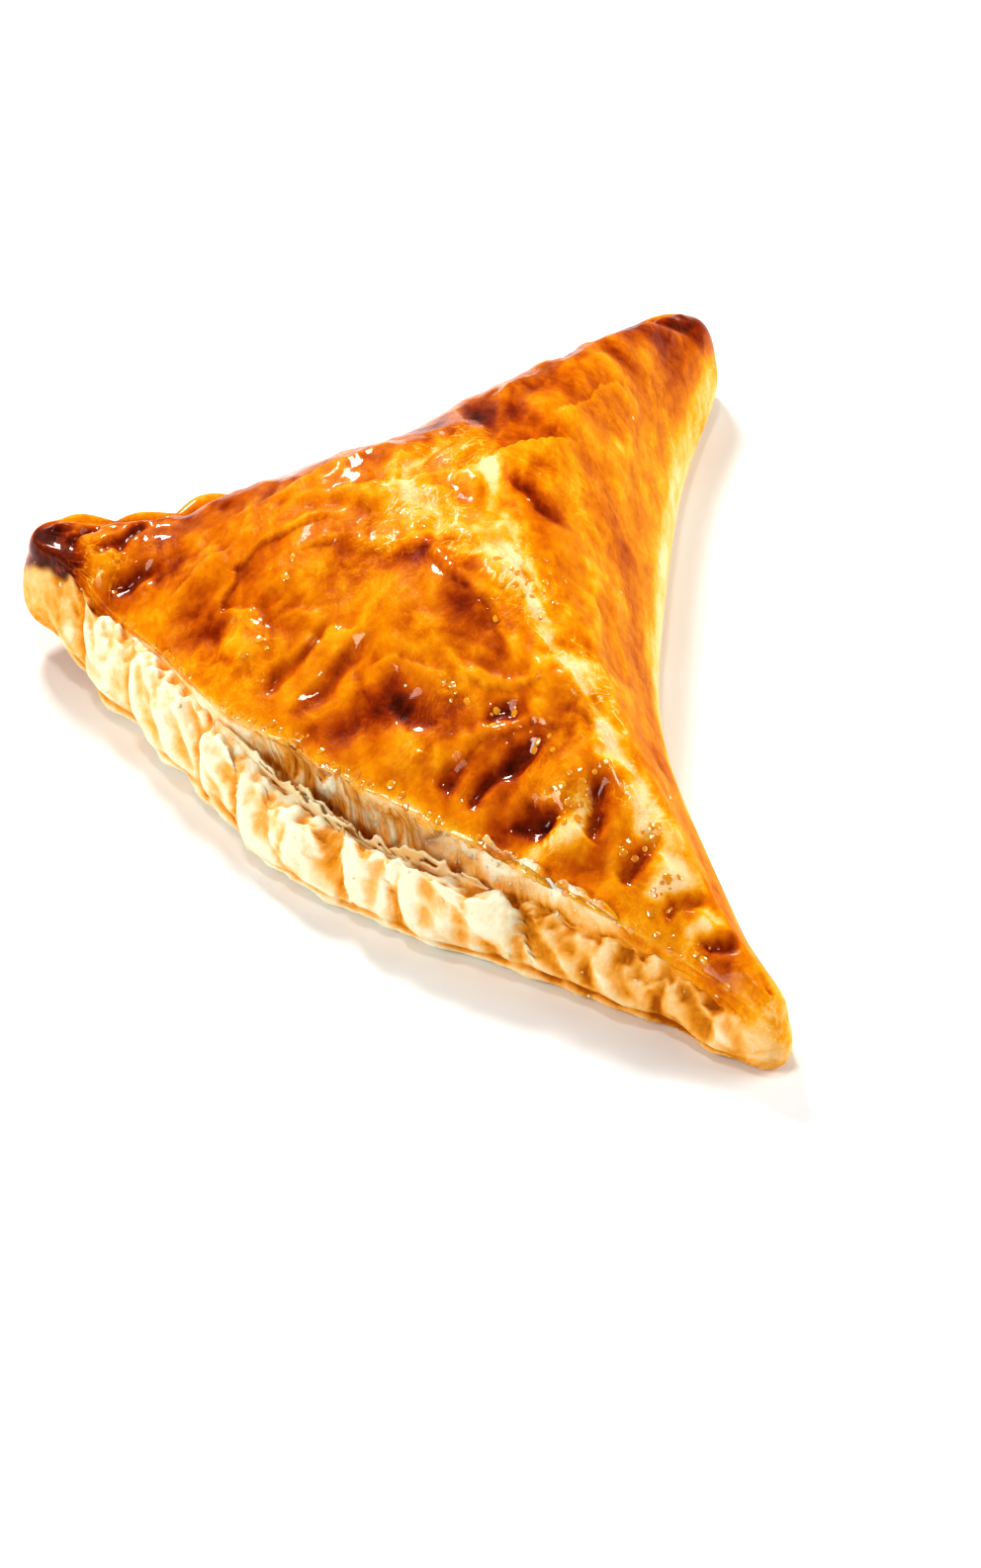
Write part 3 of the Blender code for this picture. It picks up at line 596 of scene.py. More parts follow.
def grain(points, spacing, level=0.0, octaves=1):
    """Smooth noise between about -1 and 1 at every point, with lumps of about the spacing."""
    offset = Vector((level, 2.0 * level, 3.0 * level))
    scaled = points / spacing
    if octaves == 1:
        return np.array([noise.noise(Vector(point) + offset) for point in scaled])
    return np.array([noise.fractal(Vector(point) + offset, 1.0, 2.0, octaves) for point in scaled])


def spot(points, centre, radius):
    """1 at a plan place, easing to 0 at a radius from it."""
    return bump(np.linalg.norm(points - centre, axis=-1), radius)


def at_height(points, height):
    """Plan points given one height, so that smooth noise can be read at them."""
    return np.hstack((points, np.full((len(points), 1), height)))


def frame_middle(places):
    """The place that comes to the frame's origin: the middle of the plan, at the base."""
    low, high = places.min(0), places.max(0)
    middle = 0.5 * (low + high)
    middle[2] = low[2]
    return middle


def in_frame(places, middle):
    """Places in millimetres, moved to the row frame in metres."""
    return (places - middle) * MM


def corner_centre(name):
    """Plan centre of a rounded corner."""
    return np.array(CORNERS[name][0])


def side_normal(side):
    """Outward plan normal of the straight line along one side."""
    along = unit(corner_centre(side[1]) - corner_centre(side[0]))
    return np.array((along[1], -along[0]))


def ridge_point(name, share):
    """A plan point on the ridge, at a share of the way from a corner to the hub."""
    start = corner_centre(name)
    along = np.array(HUB) - start
    across = unit(np.array((-along[1], along[0])))
    return start + along * share + across * RIDGE[name][1] * math.sin(math.pi * share)


def ridge_height(name, share, hub_height):
    """Height of the ridge, at a share of the way from a corner to the hub."""
    tip_height, _, fullness = RIDGE[name]
    return tip_height + (hub_height - tip_height) * math.sin(share * math.pi / 2.0) ** fullness


def fan_stations(index):
    """Stations around the rounded corner where one side ends and the next begins."""
    name = SIDES[index][0]
    centre, radius = corner_centre(name), CORNERS[name][1]
    before, after = side_normal(SIDES[index - 1]), side_normal(SIDES[index])
    first = math.atan2(before[1], before[0])
    sweep = (math.atan2(after[1], after[0]) - first) % (2.0 * math.pi)
    for step in range(FAN_STEPS):
        share = step / FAN_STEPS
        angle = first + sweep * share
        point = centre + radius * np.array((math.cos(angle), math.sin(angle)))
        turn = (index + FAN_TURN * (2.0 * share - 1.0)) / len(SIDES)
        yield point, (name, 0), turn


def side_stations(index):
    """Stations along one side: in along the first corner's ridge, and out along the next one's."""
    start, end = SIDES[index]
    normal = side_normal(SIDES[index])
    first = corner_centre(start) + CORNERS[start][1] * normal
    last = corner_centre(end) + CORNERS[end][1] * normal
    chord = last - first
    middle = (np.array(HUB) - first) @ chord / (chord @ chord)
    steps_in, steps_out = RIDGE_STEPS[start], RIDGE_STEPS[end]
    for step in range(steps_in + steps_out):
        if step <= steps_in:
            along = middle * step / steps_in
            key = (start, step)
        else:
            along = middle + (1.0 - middle) * (step - steps_in) / steps_out
            key = (end, steps_in + steps_out - step)
        bow = sum(size * math.sin((wave + 1) * math.pi * along) for wave, size in enumerate(BOW[start]))
        turn = (index + FAN_TURN + (1.0 - 2.0 * FAN_TURN) * along) / len(SIDES)
        yield first + chord * along + normal * bow, key, turn


def make_stations():
    """Every station around the outline: its plan point, the ridge vertex it climbs to and its turn."""
    stations = []
    for index in range(len(SIDES)):
        stations.extend(fan_stations(index))
        stations.extend(side_stations(index))
    outline = np.array([station[0] for station in stations])
    for _ in range(OUTLINE_SMOOTHING):
        outline = 0.25 * np.roll(outline, 1, 0) + 0.5 * outline + 0.25 * np.roll(outline, -1, 0)
    return outline, [station[1] for station in stations], np.array([station[2] for station in stations])


def side_share(turn, index):
    """Share of the way along one side, below 0 before it and above 1 past it."""
    opposite = (index + 0.5) / len(SIDES) - 0.5
    turn = (turn - opposite) % 1.0 + opposite
    return (turn * len(SIDES) - index - FAN_TURN) / (1.0 - 2.0 * FAN_TURN)


def on_side(turn, index):
    """1 along one side, easing to 0 towards its corners."""
    along = side_share(turn, index)
    return smooth_step(along / RELIEF_START) * smooth_step((1.0 - along) / RELIEF_END)


def edge_weights(turn):
    """How far the edge is open in layers, crimped and folded at each turn."""
    layered, crimped = (np.clip(around(values, turn), 0.0, 1.0) for values in (LAYERED, CRIMPED))
    folded = np.clip(1.0 - layered - crimped, 0.0, 1.0)
    total = layered + crimped + folded
    return layered / total, crimped / total, folded / total


def opening(turn):
    """How far the gap between the lip and the lid is open: closed at the left, and near the tip."""
    along = side_share(turn, FRONT)
    return smooth_step((along - GAP_START) / GAP_EASE) * smooth_step((GAP_END - along) / GAP_END_EASE)


def edge_sections(turn):
    """Inset and height of every section point at every station."""
    lip, lid, gap, depth = (around(values, turn) for values in (LIP_HEIGHT, LID_HEIGHT, GAP_WIDTH, GAP_DEPTH))
    parted = opening(turn)
    gap = GAP_CLOSED + np.maximum(gap - GAP_CLOSED, 0.0) * parted
    depth = depth * parted
    opened = [np.stack((inset + per_gap * gap, of_lip * lip + of_lid * lid - of_depth * depth + rise))
              for inset, per_gap, of_lip, of_lid, of_depth, rise in OPEN_SHAPE]
    for row in range(LIP_TOP + 1, LID_EDGE + 1):
        share = (row - LIP_TOP) / (LID_EDGE + 1 - LIP_TOP)
        shut = opened[LIP_TOP - 1] * (1.0 - share) + opened[LID_EDGE] * share
        opened[row - 1] = shut + (opened[row - 1] - shut) * parted
    closed = [[(np.full_like(lid, inset), share * lid) for inset, share in shape]
              for shape in (CRIMP_SHAPE, FOLD_SHAPE)]
    blended = sum(weight[:, None, None] * np.stack([np.stack(point, -1) for point in section], 1)
                  for weight, section in zip(edge_weights(turn), (opened, *closed)))
    return blended[:, :, 0], blended[:, :, 1]


def make_rows(hub_height):
    """Rows of points from the middle of the base, out over the edge and up the dome to the ridge."""
    outline, keys, turn = make_stations()
    ridge = np.array([ridge_point(name, step / RIDGE_STEPS[name]) for name, step in keys])
    height = np.array([ridge_height(name, step / RIDGE_STEPS[name], hub_height) for name, step in keys])
    inset, rise = edge_sections(turn)
    reach = np.linalg.norm(ridge - outline, axis=1)
    inset = inset * np.minimum(1.0, NARROWEST_INSET * reach / inset[:, -1])[:, None]
    tangent = unit(np.roll(outline, -1, 0) - np.roll(outline, 1, 0))
    inward = np.stack((-tangent[:, 1], tangent[:, 0]), 1)
    inward = unit(SQUARENESS * inward + (1.0 - SQUARENESS) * unit(ridge - outline))

    rows = [np.column_stack((ridge, np.zeros(len(ridge))))]
    for level in range(inset.shape[1]):
        rows.append(np.column_stack((outline + inward * inset[:, level:level + 1], rise[:, level])))
    edge = rows[-1]
    fullness, softness = around(FULLNESS, turn), around(SOFTNESS, turn)
    for row in range(1, DOME_ROWS + 1):
        share = row / DOME_ROWS
        climb = (1.0 - softness) * (1.0 - (1.0 - share) ** fullness) + softness * smooth_step(share)
        plan = edge[:, :2] + (ridge - edge[:, :2]) * share
        rows.append(np.column_stack((plan, edge[:, 2] + (height - edge[:, 2]) * climb)))
    levels = []
    denser = []
    for row, points in enumerate(rows):
        levels.append(float(row))
        denser.append(points)
        # A halfway row lies on the smooth curve through the two rows on each side of it.
        if row in DENSER_ROWS:
            levels.append(row + 0.5)
            denser.append((9.0 * (points + rows[row + 1]) - rows[row - 1] - rows[row + 2]) / 16.0)
    denser = np.array(denser)
    for name, (lift, reach) in LIFT.items():
        denser[..., 2] += lift * spot(denser[..., :2], corner_centre(name), reach)
    return denser, levels, keys, turn, inward


def make_cage(hub_height):
    """The coarse closed surface, whose vertices keep their row, their turn and their inward way."""
    rows, levels, keys, turn, inward = make_rows(hub_height)
    shell = bmesh.new()
    row_layer = shell.verts.layers.float.new("row")
    turn_layer = shell.verts.layers.float_vector.new("turn")
    inward_layer = shell.verts.layers.float_vector.new("inward")
    shared = {}

    def add_vertex(row, station):
        vertex = shell.verts.new(rows[row, station])
        angle = 2.0 * math.pi * turn[station]
        vertex[row_layer] = levels[row]
        vertex[turn_layer] = (math.cos(angle), math.sin(angle), 0.0)
        vertex[inward_layer] = (*inward[station], 0.0)
        return vertex

    def ridge_vertex(row, station):
        name, step = keys[station]
        key = (row, "hub") if step == RIDGE_STEPS[name] else (row, name, step)
        if key not in shared:
            shared[key] = add_vertex(row, station)
            shared[key][turn_layer] = (0.0, 0.0, 0.0)
        return shared[key]

    last = len(rows) - 1
    count = len(keys)
    grid = []
    for row in range(len(rows)):
        make_vertex = ridge_vertex if row in (0, last) else add_vertex
        grid.append([make_vertex(row, station) for station in range(count)])
    for row in range(last):
        for station in range(count):
            following = (station + 1) % count
            corners = (grid[row][station], grid[row][following],
                       grid[row + 1][following], grid[row + 1][station])
            distinct = list(dict.fromkeys(corners))
            if len(distinct) > 2:
                shell.faces.new(distinct)
    lid_rows = [row for row, level in enumerate(levels) if level >= LID_EDGE + 2]
    movable = list(dict.fromkeys(vertex for row in lid_rows for vertex in grid[row]))
    for _ in range(DOME_SMOOTHING):
        bmesh.ops.smooth_vert(shell, verts=movable, factor=0.5, use_axis_x=True, use_axis_y=True,
                              use_axis_z=True)
    bmesh.ops.recalc_face_normals(shell, faces=shell.faces)
    mesh = bpy.data.meshes.new("cage")
    shell.to_mesh(mesh)
    shell.free()
    return mesh


def read(attribute, width, field):
    """An attribute's values as an array."""
    values = np.zeros(len(attribute.data) * width, np.float32)
    attribute.data.foreach_get(field, values)
    return values.reshape(-1, width).astype(float) if width > 1 else values.astype(float)


def finer(mesh, levels):
    """The mesh after smooth subdivision, as a new plain mesh."""
    holder = bpy.data.objects.new("holder", mesh)
    bpy.context.scene.collection.objects.link(holder)
    modifier = holder.modifiers.new("subdivide", "SUBSURF")
    modifier.levels = levels
    modifier.render_levels = levels
    result = bpy.data.meshes.new_from_object(holder.evaluated_get(bpy.context.evaluated_depsgraph_get()))
    bpy.data.objects.remove(holder)
    return result


def stretch_distance(points, start, end):
    """Plan distance from points to the straight stretch between two places."""
    along = np.asarray(end, float) - start
    share = np.clip((points - start) @ along / (along @ along), 0.0, 1.0)
    return np.linalg.norm(points - (start + share[..., None] * along), axis=-1)


def mark_distance(points, x, y, heading, length):
    """Plan distance from points to a straight mark with a middle, a heading in degrees and a length."""
    angle = math.radians(heading)
    reach = 0.5 * length * np.array((math.cos(angle), math.sin(angle)))
    return stretch_distance(points, (x, y) - reach, (x, y) + reach)


def pressed(points, x, y, heading, length, half_width):
    """1 along a straight mark, easing to 0 at a half width from it."""
    return bump(mark_distance(points, x, y, heading, length), half_width)


def wandering(points, moves):
    """Plan points moved sideways by smooth noise, so that what is drawn at them wanders."""
    for spacing, size, level in moves:
        flat = at_height(points, level * spacing)
        sideways = [grain(flat, spacing, level + shift) for shift in SIDEWAYS_LEVELS]
        points = points + size * np.stack(sideways, 1)
    return points


def crack_distance(points):
    """Plan distance from points to the nearest crack."""
    points = wandering(points, CRACK_WANDER)
    stretches = [stretch_distance(points, np.array(start), end)
                 for crack in CRACKS for start, end in zip(crack, crack[1:])]
    return np.min(stretches, 0)


def crease_relief(points):
    """Height of the creases: each steps up past its line and fades back behind it."""
    points = wandering(points, CREASE_WANDER)
    relief = np.zeros(len(points))
    for height, reach, line in CREASES:
        nearest = np.full(len(points), np.inf)
        behind = np.zeros(len(points))
        for start, end in zip(line, line[1:]):
            away = stretch_distance(points, np.array(start), end)
            along = unit(np.array(end) - start)
            side = (points - start) @ np.array((along[1], -along[0]))
            behind = np.where(away < nearest, np.where(side < 0.0, -away, away), behind)
            nearest = np.minimum(nearest, away)
        ends = np.linalg.norm(points - line[0], axis=1), np.linalg.norm(points - line[-1], axis=1)
        raised = smooth_step(behind / CREASE_STEP + 0.5) * bump(nearest, reach)
        relief += height * raised * smooth_step(np.minimum(*ends) / CREASE_END)
    return relief


def flake_relief(points):
    """Height of the flake that stands up past its line and fades out behind it."""
    start, end = (np.array(point) for point in FLAKE_LINE)
    along = unit(end - start)
    offset = points - 0.5 * (start + end)
    behind = offset @ np.array((along[1], -along[0]))
    beside = np.abs(offset @ along) / np.linalg.norm(end - start)
    raised = smooth_step(behind / FLAKE_STEP + 0.5) * np.exp(-np.clip(behind, 0.0, None) / FLAKE_FADE)
    return FLAKE_HEIGHT * raised * smooth_step((FLAKE_END - beside) / FLAKE_END_SLOPE)


def lid_relief(points):
    """Height to add to the lid at each plan point."""
    relief = flake_relief(points)
    moved = wandering(points, MARK_WANDER)
    for x, y, heading, length, half_width, depth, _ in PRESSED_MARKS:
        relief -= depth * pressed(moved, x, y, heading, length, MARK_SPREAD * half_width)
    for x, y, radius, height in BLISTERS:
        relief += height * spot(points, (x, y), radius)
    relief -= CRACK_DEPTH * bump(crack_distance(points), MARK_SPREAD * CRACK_HALF_WIDTH)
    relief += crease_relief(points)
    for spacing, height, level in WRINKLES:
        moved = wandering(points, ((WRINKLE_WANDER * spacing, spacing, level),))
        folds = grain(at_height(moved * WRINKLE_STRETCH, level), spacing, WRINKLE_LEVEL)
        relief += height * (1.0 - 2.0 * np.abs(folds))
    flat = at_height(points, UNEVEN_LEVEL * UNEVEN_SPACING)
    patches = np.clip(0.5 + PEBBLE_CONTRAST * grain(flat, PEBBLE_PATCHES), PEBBLE_LEAST, 1.0)
    relief += PEBBLE_HEIGHT * patches * grain(flat, PEBBLE_SPACING)
    return relief + UNEVEN_HEIGHT * grain(flat, UNEVEN_SPACING)


def browning(points):
    """How far the lid has browned at each plan point, from 0 for pale to 1 for burnt."""
    baked = np.full(len(points), BASE_BROWNING)
    stained = wandering(points, STAIN_WANDER)
    for sign, areas in ((1.0, BROWNED), (-1.0, PALE)):
        for x, y, heading, length, half_width, change in areas:
            baked += sign * change * pressed(stained, x, y, heading, length, MARK_SPREAD * half_width)
    baked -= CRACK_PALENESS * bump(crack_distance(points), STAIN_SPREAD * CRACK_HALF_WIDTH)
    moved = wandering(points, MARK_WANDER)
    for x, y, heading, length, half_width, _, change in PRESSED_MARKS:
        near = pressed(moved, x, y, heading, length, STAIN_SPREAD * MARK_SPREAD * half_width)
        baked += MARK_BROWNING * change * near * np.clip(1.0 - baked, 0.0, 1.0)
    return np.clip(baked, 0.0, 1.0)


class Crust:
    """The fine surface as arrays: places in millimetres, and each vertex's row, turn and inward way."""

    def __init__(self, sizes):
        cage = make_cage(sizes.hub_height / MM)
        self.middle = frame_middle(np.array([vertex.co for vertex in cage.vertices]))
        self.mesh = finer(cage, SUBDIVISIONS)
        self.places = read(self.mesh.attributes["position"], 3, "vector")
        self.row = read(self.mesh.attributes["row"], 1, "value")
        direction = read(self.mesh.attributes["turn"], 3, "vector")
        self.turn = np.arctan2(direction[:, 1], direction[:, 0]) / (2.0 * math.pi) % 1.0
        self.inward = read(self.mesh.attributes["inward"], 3, "vector")
        self.inward[:, 2] = 0.0

    def normals(self):
        """Vertex normals of the surface as it is now."""
        self.mesh.attributes["position"].data.foreach_set("vector", self.places.astype(np.float32).ravel())
        self.mesh.update()
        values = np.zeros(len(self.mesh.vertices) * 3, np.float32)
        self.mesh.vertex_normals.foreach_get("vector", values)
        return values.reshape(-1, 3).astype(float)

    def shape_edges(self):
        """Everything that shapes the open front, and the scallops along the back."""
        self.along = side_share(self.turn, FRONT)
        self.front = on_side(self.turn, FRONT)
        self.parted = opening(self.turn)
        self.shape_lip()
        self.fold_lip()
        self.fill_gap()
        self.shape_rim()
        self.sink_holes()
        self.scallop_back()

    def shape_lip(self):
        """Petals, lumps and tears of the lip, and the ragged layers of the gap."""
        lip = share_at(LIP_SHARES, self.row)
        layer = share_at(LAYER_SHARES, self.row)
        push = LIP_LUMP * ripple(self.along, LIP_LUMP_WAVES)
        for place, half_width, depth in LIP_TEARS:
            push = push + TEAR_SHARE * depth * bump(np.abs(self.along - place), half_width)
        petal, lift = self.petals()
        shown = RAGGED_SHUT + (1.0 - RAGGED_SHUT) * self.parted
        ragged = RAGGED_SIZE * ripple(self.along, RAGGED_WAVES) * shown
        push = push - petal
        # Painted shade in the valleys between the petals.
        self.valley = np.clip((push * lip * self.front - VALLEY_START) / VALLEY_SPAN, 0.0, 1.0)
        self.places += self.inward * (self.front * (push * lip + ragged * layer))[:, None]
        self.places[:, 2] -= self.front * (LIP_SAG * push + RAGGED_SAG * ragged - lift) * lip ** 2

    def petals(self):
        """How far the petals of the lip stand out, and how much higher their tops stand."""
        along = self.along + PETAL_WANDER * grain(self.places, *PETAL_NOISE)
        out = np.zeros(len(along))
        lift = np.zeros(len(along))
        for first, last, bulge, slant, rise in PETALS:
            share = (along - first - slant * (self.row - LIP_BELLY)) / (last - first)
            fall = 1.0 - PETAL_FALL * np.clip(share, 0.0, 1.0) ** PETAL_FALL_POWER
            swell = bulge * fall * smooth_step(share / PETAL_START) * smooth_step((1.0 - share) / PETAL_START)
            lift = np.where(swell > out, rise, lift)
            out = np.maximum(out, swell)
        return out - PETAL_LEVEL, lift

    def fold_lip(self):
        """The groove under the lip's upper layer, and the folds, puffs and broad lumps of its face."""
        face = self.front * share_at(FACE_ROWS, self.row)
        parting = self.row - UNDER_ROW - UNDER_DRIFT * grain(self.places, *UNDER_NOISE)
        groove = bump(np.abs(parting), 2.0 * UNDER_WIDTH) * UNDER_DEPTH
        sweep = FRONT_LENGTH * self.along + FOLD_SWEEP * self.row
        flow = np.stack((sweep, FOLD_STRETCH * self.row, np.zeros_like(sweep)), 1)
        flow = flow + grain(self.places, *SWEEP_NOISE)[:, None]
        folds = 1.0 - 2.0 * np.abs(grain(flow, *FOLD_NOISE))
        puffs = grain(self.places, *PUFF_NOISE)
        broad = grain(self.places, *BROAD_NOISE)
        relief = groove - FOLD_SIZE * folds - PUFF_SIZE * puffs - BROAD_HEIGHT * broad
        self.places += self.inward * (face * relief)[:, None]

    def fill_gap(self):
        """The crumbly ledge in the gap, the ragged crest of the lip and the torn fibres behind it."""
        first, last = LEDGE
        inside = smooth_step((self.along - first) / LEDGE_EASE)
        inside = inside * smooth_step((last - self.along) / LEDGE_EASE)
        self.ledge = inside * share_at(LEDGE_ROWS, self.row)
        self.places[:, 2] += self.ledge * (LEDGE_RISE + LEDGE_CRUMB * grain(self.places, *LEDGE_NOISE))
        run = (self.along + FIBRE_DRIFT * self.row) / FIBRE_SPACING
        places = np.stack((run, FIBRE_STRETCH * self.row, np.full_like(run, FIBRE_LEVEL)), 1)
        self.fibre = 1.0 - FIBRE_SHARPNESS * np.abs(grain(places, *FIBRE_NOISE))
        crest = self.front * share_at(CREST_ROWS, self.row)
        self.places[:, 2] += CREST_HEIGHT * crest * grain(self.places, *CREST_NOISE)
        torn = self.front * self.parted * share_at(TORN_ROWS, self.row)
        self.places[:, 2] += FIBRE_HEIGHT * torn * self.fibre
        self.torn = torn * (1.0 - LEDGE_COVER * self.ledge)

    def shape_rim(self):
        """Drips along the rim of the lid."""
        rim = self.front * share_at(RIM_ROWS, self.row) * (RIM_SHUT + (1.0 - RIM_SHUT) * self.parted)
        drip = RIM_SIZE * (RIM_MEAN + RIM_VARIETY * grain(self.places, *RIM_NOISE))
        self.places -= self.inward * (rim * drip)[:, None]

    def sink_holes(self):
        """Deep holes in the floor of the gap."""
        opened = share_at(HOLE_ROWS, self.row) * self.front
        for x, y, radius, depth in HOLES:
            self.places[:, 2] -= depth * spot(self.places[:, :2], (x, y), MARK_SPREAD * radius) * opened

    def scallop_back(self):
        """Scallops along the crimped back."""
        fluted = on_side(self.turn, BACK) * share_at(SCALLOP_SHARES, self.row)
        wave = np.abs(np.sin(math.pi * SCALLOPS * side_share(self.turn, BACK))) - SCALLOP_LEVEL
        scallop = SCALLOP_DEPTH * fluted * wave
        self.places -= self.inward * scallop[:, None]
        self.places[:, 2] += scallop

    def shape_lid(self):
        """Marks, blisters, cracks and unevenness of the lid."""
        share = np.clip((self.row - LID_EDGE - 1) / RELIEF_ROWS, 0.0, 1.0)
        self.places[:, 2] += share * lid_relief(self.places[:, :2])

    def cavity(self, steps, size):
        """How hollow the surface is at each vertex next to its smoothed self: 1 for a hollow of the size."""
        edges = np.zeros(len(self.mesh.edges) * 2, np.int32)
        self.mesh.edges.foreach_get("vertices", edges)
        starts, ends = edges.reshape(-1, 2).T
        ends, starts = np.concatenate((ends, starts)), np.concatenate((starts, ends))
        total = len(self.places)
        shares = np.bincount(ends, minlength=total)[:, None]
        smooth = self.places
        for _ in range(steps):
            sums = [np.bincount(ends, smooth[starts, axis], total) for axis in range(3)]
            smooth = np.stack(sums, 1) / shares
        depth = ((smooth - self.places) * self.normals()).sum(1)
        return np.clip(depth / size, -1.0, 1.0)

    def store(self, name, values):
        """Keep a value or a vector for each vertex on the mesh, for its material."""
        kind, field = ("FLOAT_VECTOR", "vector") if values.ndim > 1 else ("FLOAT", "value")
        attribute = self.mesh.attributes.new(name, kind, "POINT")
        attribute.data.foreach_set(field, values.astype(np.float32).ravel())

    def paint(self):
        """Keep what the material reads."""
        layered, _, folded = edge_weights(self.turn)
        self.paint_lid(layered, folded)
        self.paint_dough(layered)
        self.paint_scatter(layered)

    def paint_lid(self, layered, folded):
        """Where the egg wash is, how far it has browned, its hollows, its lace of pale lines and its rim."""
        wander = sum(size * grain(self.places, spacing, level) for size, spacing, level in WASH_WANDER)
        edge = around(WASH_ROW, self.turn)
        self.store("wash", smooth_step((self.row - edge + wander) / WASH_FADE + 0.5))
        low = 1.0 - smooth_step((self.row - PALE_BAND_ROW) / PALE_BAND_FADE)
        baked = browning(self.places[:, :2]) * (1.0 - PALE_BAND_SHARE * folded * low)
        self.store("browning", baked - FOLD_PALENESS * folded)
        # Painted shade in the hollows and painted light on the ridges of the lid and the dough.
        self.store("cavity", sum(share * self.cavity(steps, depth) for steps, depth, share in CAVITIES))
        crest = np.max([pressed(self.places[:, :2], x, y, heading, length, LACE_SPREAD * half_width)
                        for x, y, heading, length, half_width, _ in PALE], 0)
        near = smooth_step((LACE_END - self.places[:, 1]) / LACE_FADE)
        self.store("crest", crest * (1.0 - LACE_FALL * near))
        # The rim is painted paler golden, partly as painted light on the bright thin edge.
        shown = RIM_PAINT_SHUT + (1.0 - RIM_PAINT_SHUT) * self.parted
        self.store("rim", layered * shown * share_at(RIM_PAINT_ROWS, self.row))
        self.store("folded", folded)

    def paint_dough(self, layered):
        """Painted shade in the gap and the valleys, painted light on the torn fibres, and the bare dough's tan,
        with painted shade at the tip and painted warm light at the foot.
        """
        trench = layered * self.parted * share_at(TRENCH_ROWS, self.row)
        # Painted light on the tops of the torn fibres, over painted shade on the gap's floor.
        light = FIBRE_PAINTED_LIGHT * np.clip(self.fibre, FIBRE_LEAST, 1.0)
        floor = trench * (1.0 - self.ledge) * (FLOOR_PAINTED_SHADE - light)
        self.store("hollow", np.clip(floor + self.valley, 0.0, DARKEST_HOLLOW_SHADE))
        self.store("torn", self.torn)
        run = FRONT_LENGTH * self.along + self.row
        self.store("strings", MM * np.stack((run, STRING_STRETCH * self.row, np.zeros_like(run)), 1))
        corner = spot(self.places[:, :2], corner_centre("left"), CORNER_REACH)
        # The foot is painted darker and warmer, partly as warm light bounced up from below, and the tip partly
        # as painted shade.
        foot = 1.0 - smooth_step((self.row - FOOT_ROW) / FOOT_FADE)
        tip = smooth_step((self.along - TIP_START) / TIP_FADE) * layered
        tan_and_shade_level = CORNER_TAN * corner + FOOT_TAN_AND_BOUNCE_LIGHT * foot + TIP_TAN_AND_SHADE * tip
        self.store("tanned", tan_and_shade_level * (1.0 - self.ledge) - LEDGE_PALENESS * self.ledge)

    def paint_scatter(self, layered):
        """How thickly crumbs and drops of egg wash lie."""
        on_lip = layered * share_at(CRUMB_ROWS, self.row)
        on_lid = smooth_step(self.row - LID_EDGE - 1.0)
        crumbs = LIP_CRUMBS * on_lip + LEDGE_CRUMBS * self.ledge + LID_CRUMBS * on_lid
        self.store("crumbs", np.clip(crumbs, 0.0, LEDGE_CRUMBS))
        start, start_ease = RIM_DROPS_START
        end, end_ease = RIM_DROPS_END
        drops = layered * share_at(RIM_DROP_ROWS, self.row) * smooth_step((self.along - start) / start_ease)
        drops = drops * smooth_step((end - self.along) / end_ease)
        for x, y, radius, share in DROPS:
            near = spot(self.places[:, :2], (x, y), DROP_SPREAD * radius)
            drops = np.maximum(drops, share * near * on_lid)
        self.store("drops", drops)

    def finish(self, name):
        """The finished mesh, with its place in its vertices."""
        places = in_frame(self.places, self.middle)
        self.mesh.attributes["position"].data.foreach_set("vector", places.astype(np.float32).ravel())
        for spare in ("row", "turn", "inward"):
            self.mesh.attributes.remove(self.mesh.attributes[spare])
        self.mesh.shade_smooth()
        self.mesh.update()
        self.mesh.name = name
        return self.mesh


class Gap:
    """The open gap along the front: points across it from the lip to the lid, and up from its floor."""

    def __init__(self, sizes):
        rows, levels, _, turn, _ = make_rows(sizes.hub_height / MM)
        along = side_share(turn, FRONT)
        front = np.argsort(along)
        front = front[(along[front] > 0.0) & (along[front] < 1.0)]
        self.along = along[front]
        row_at = {level: rows[index][front] for index, level in enumerate(levels)}
        self.lip, self.floor, self.lid = row_at[LIP_TOP + 1.0], row_at[10.0], row_at[float(LID_EDGE)]
        self.middle = frame_middle(rows.reshape(-1, 3))

    def read(self, line, along):
        """A line of points, read at shares of the front."""
        return np.stack([np.interp(along, self.along, line[:, axis]) for axis in range(3)], -1)

    def point(self, along, across, up):
        """Places at shares of the front, across the gap from lip to lid, and up from its floor."""
        lip, floor, lid = (self.read(line, along) for line in (self.lip, self.floor, self.lid))
        places = lip + (lid - lip) * across[..., None]
        places[..., 2] = floor[..., 2] + (lid[..., 2] - floor[..., 2]) * up
        return places


def sheet_noise(along, share, number, reading):
    """Smooth noise over a sheet, read at shares of the front and up the sheet."""
    by_along, by_share, by_number, start = reading
    return np.array([[noise.noise((by_along * place, by_share * rise, by_number * number + start))
                      for place, rise in zip(*pair)] for pair in zip(along, share)])


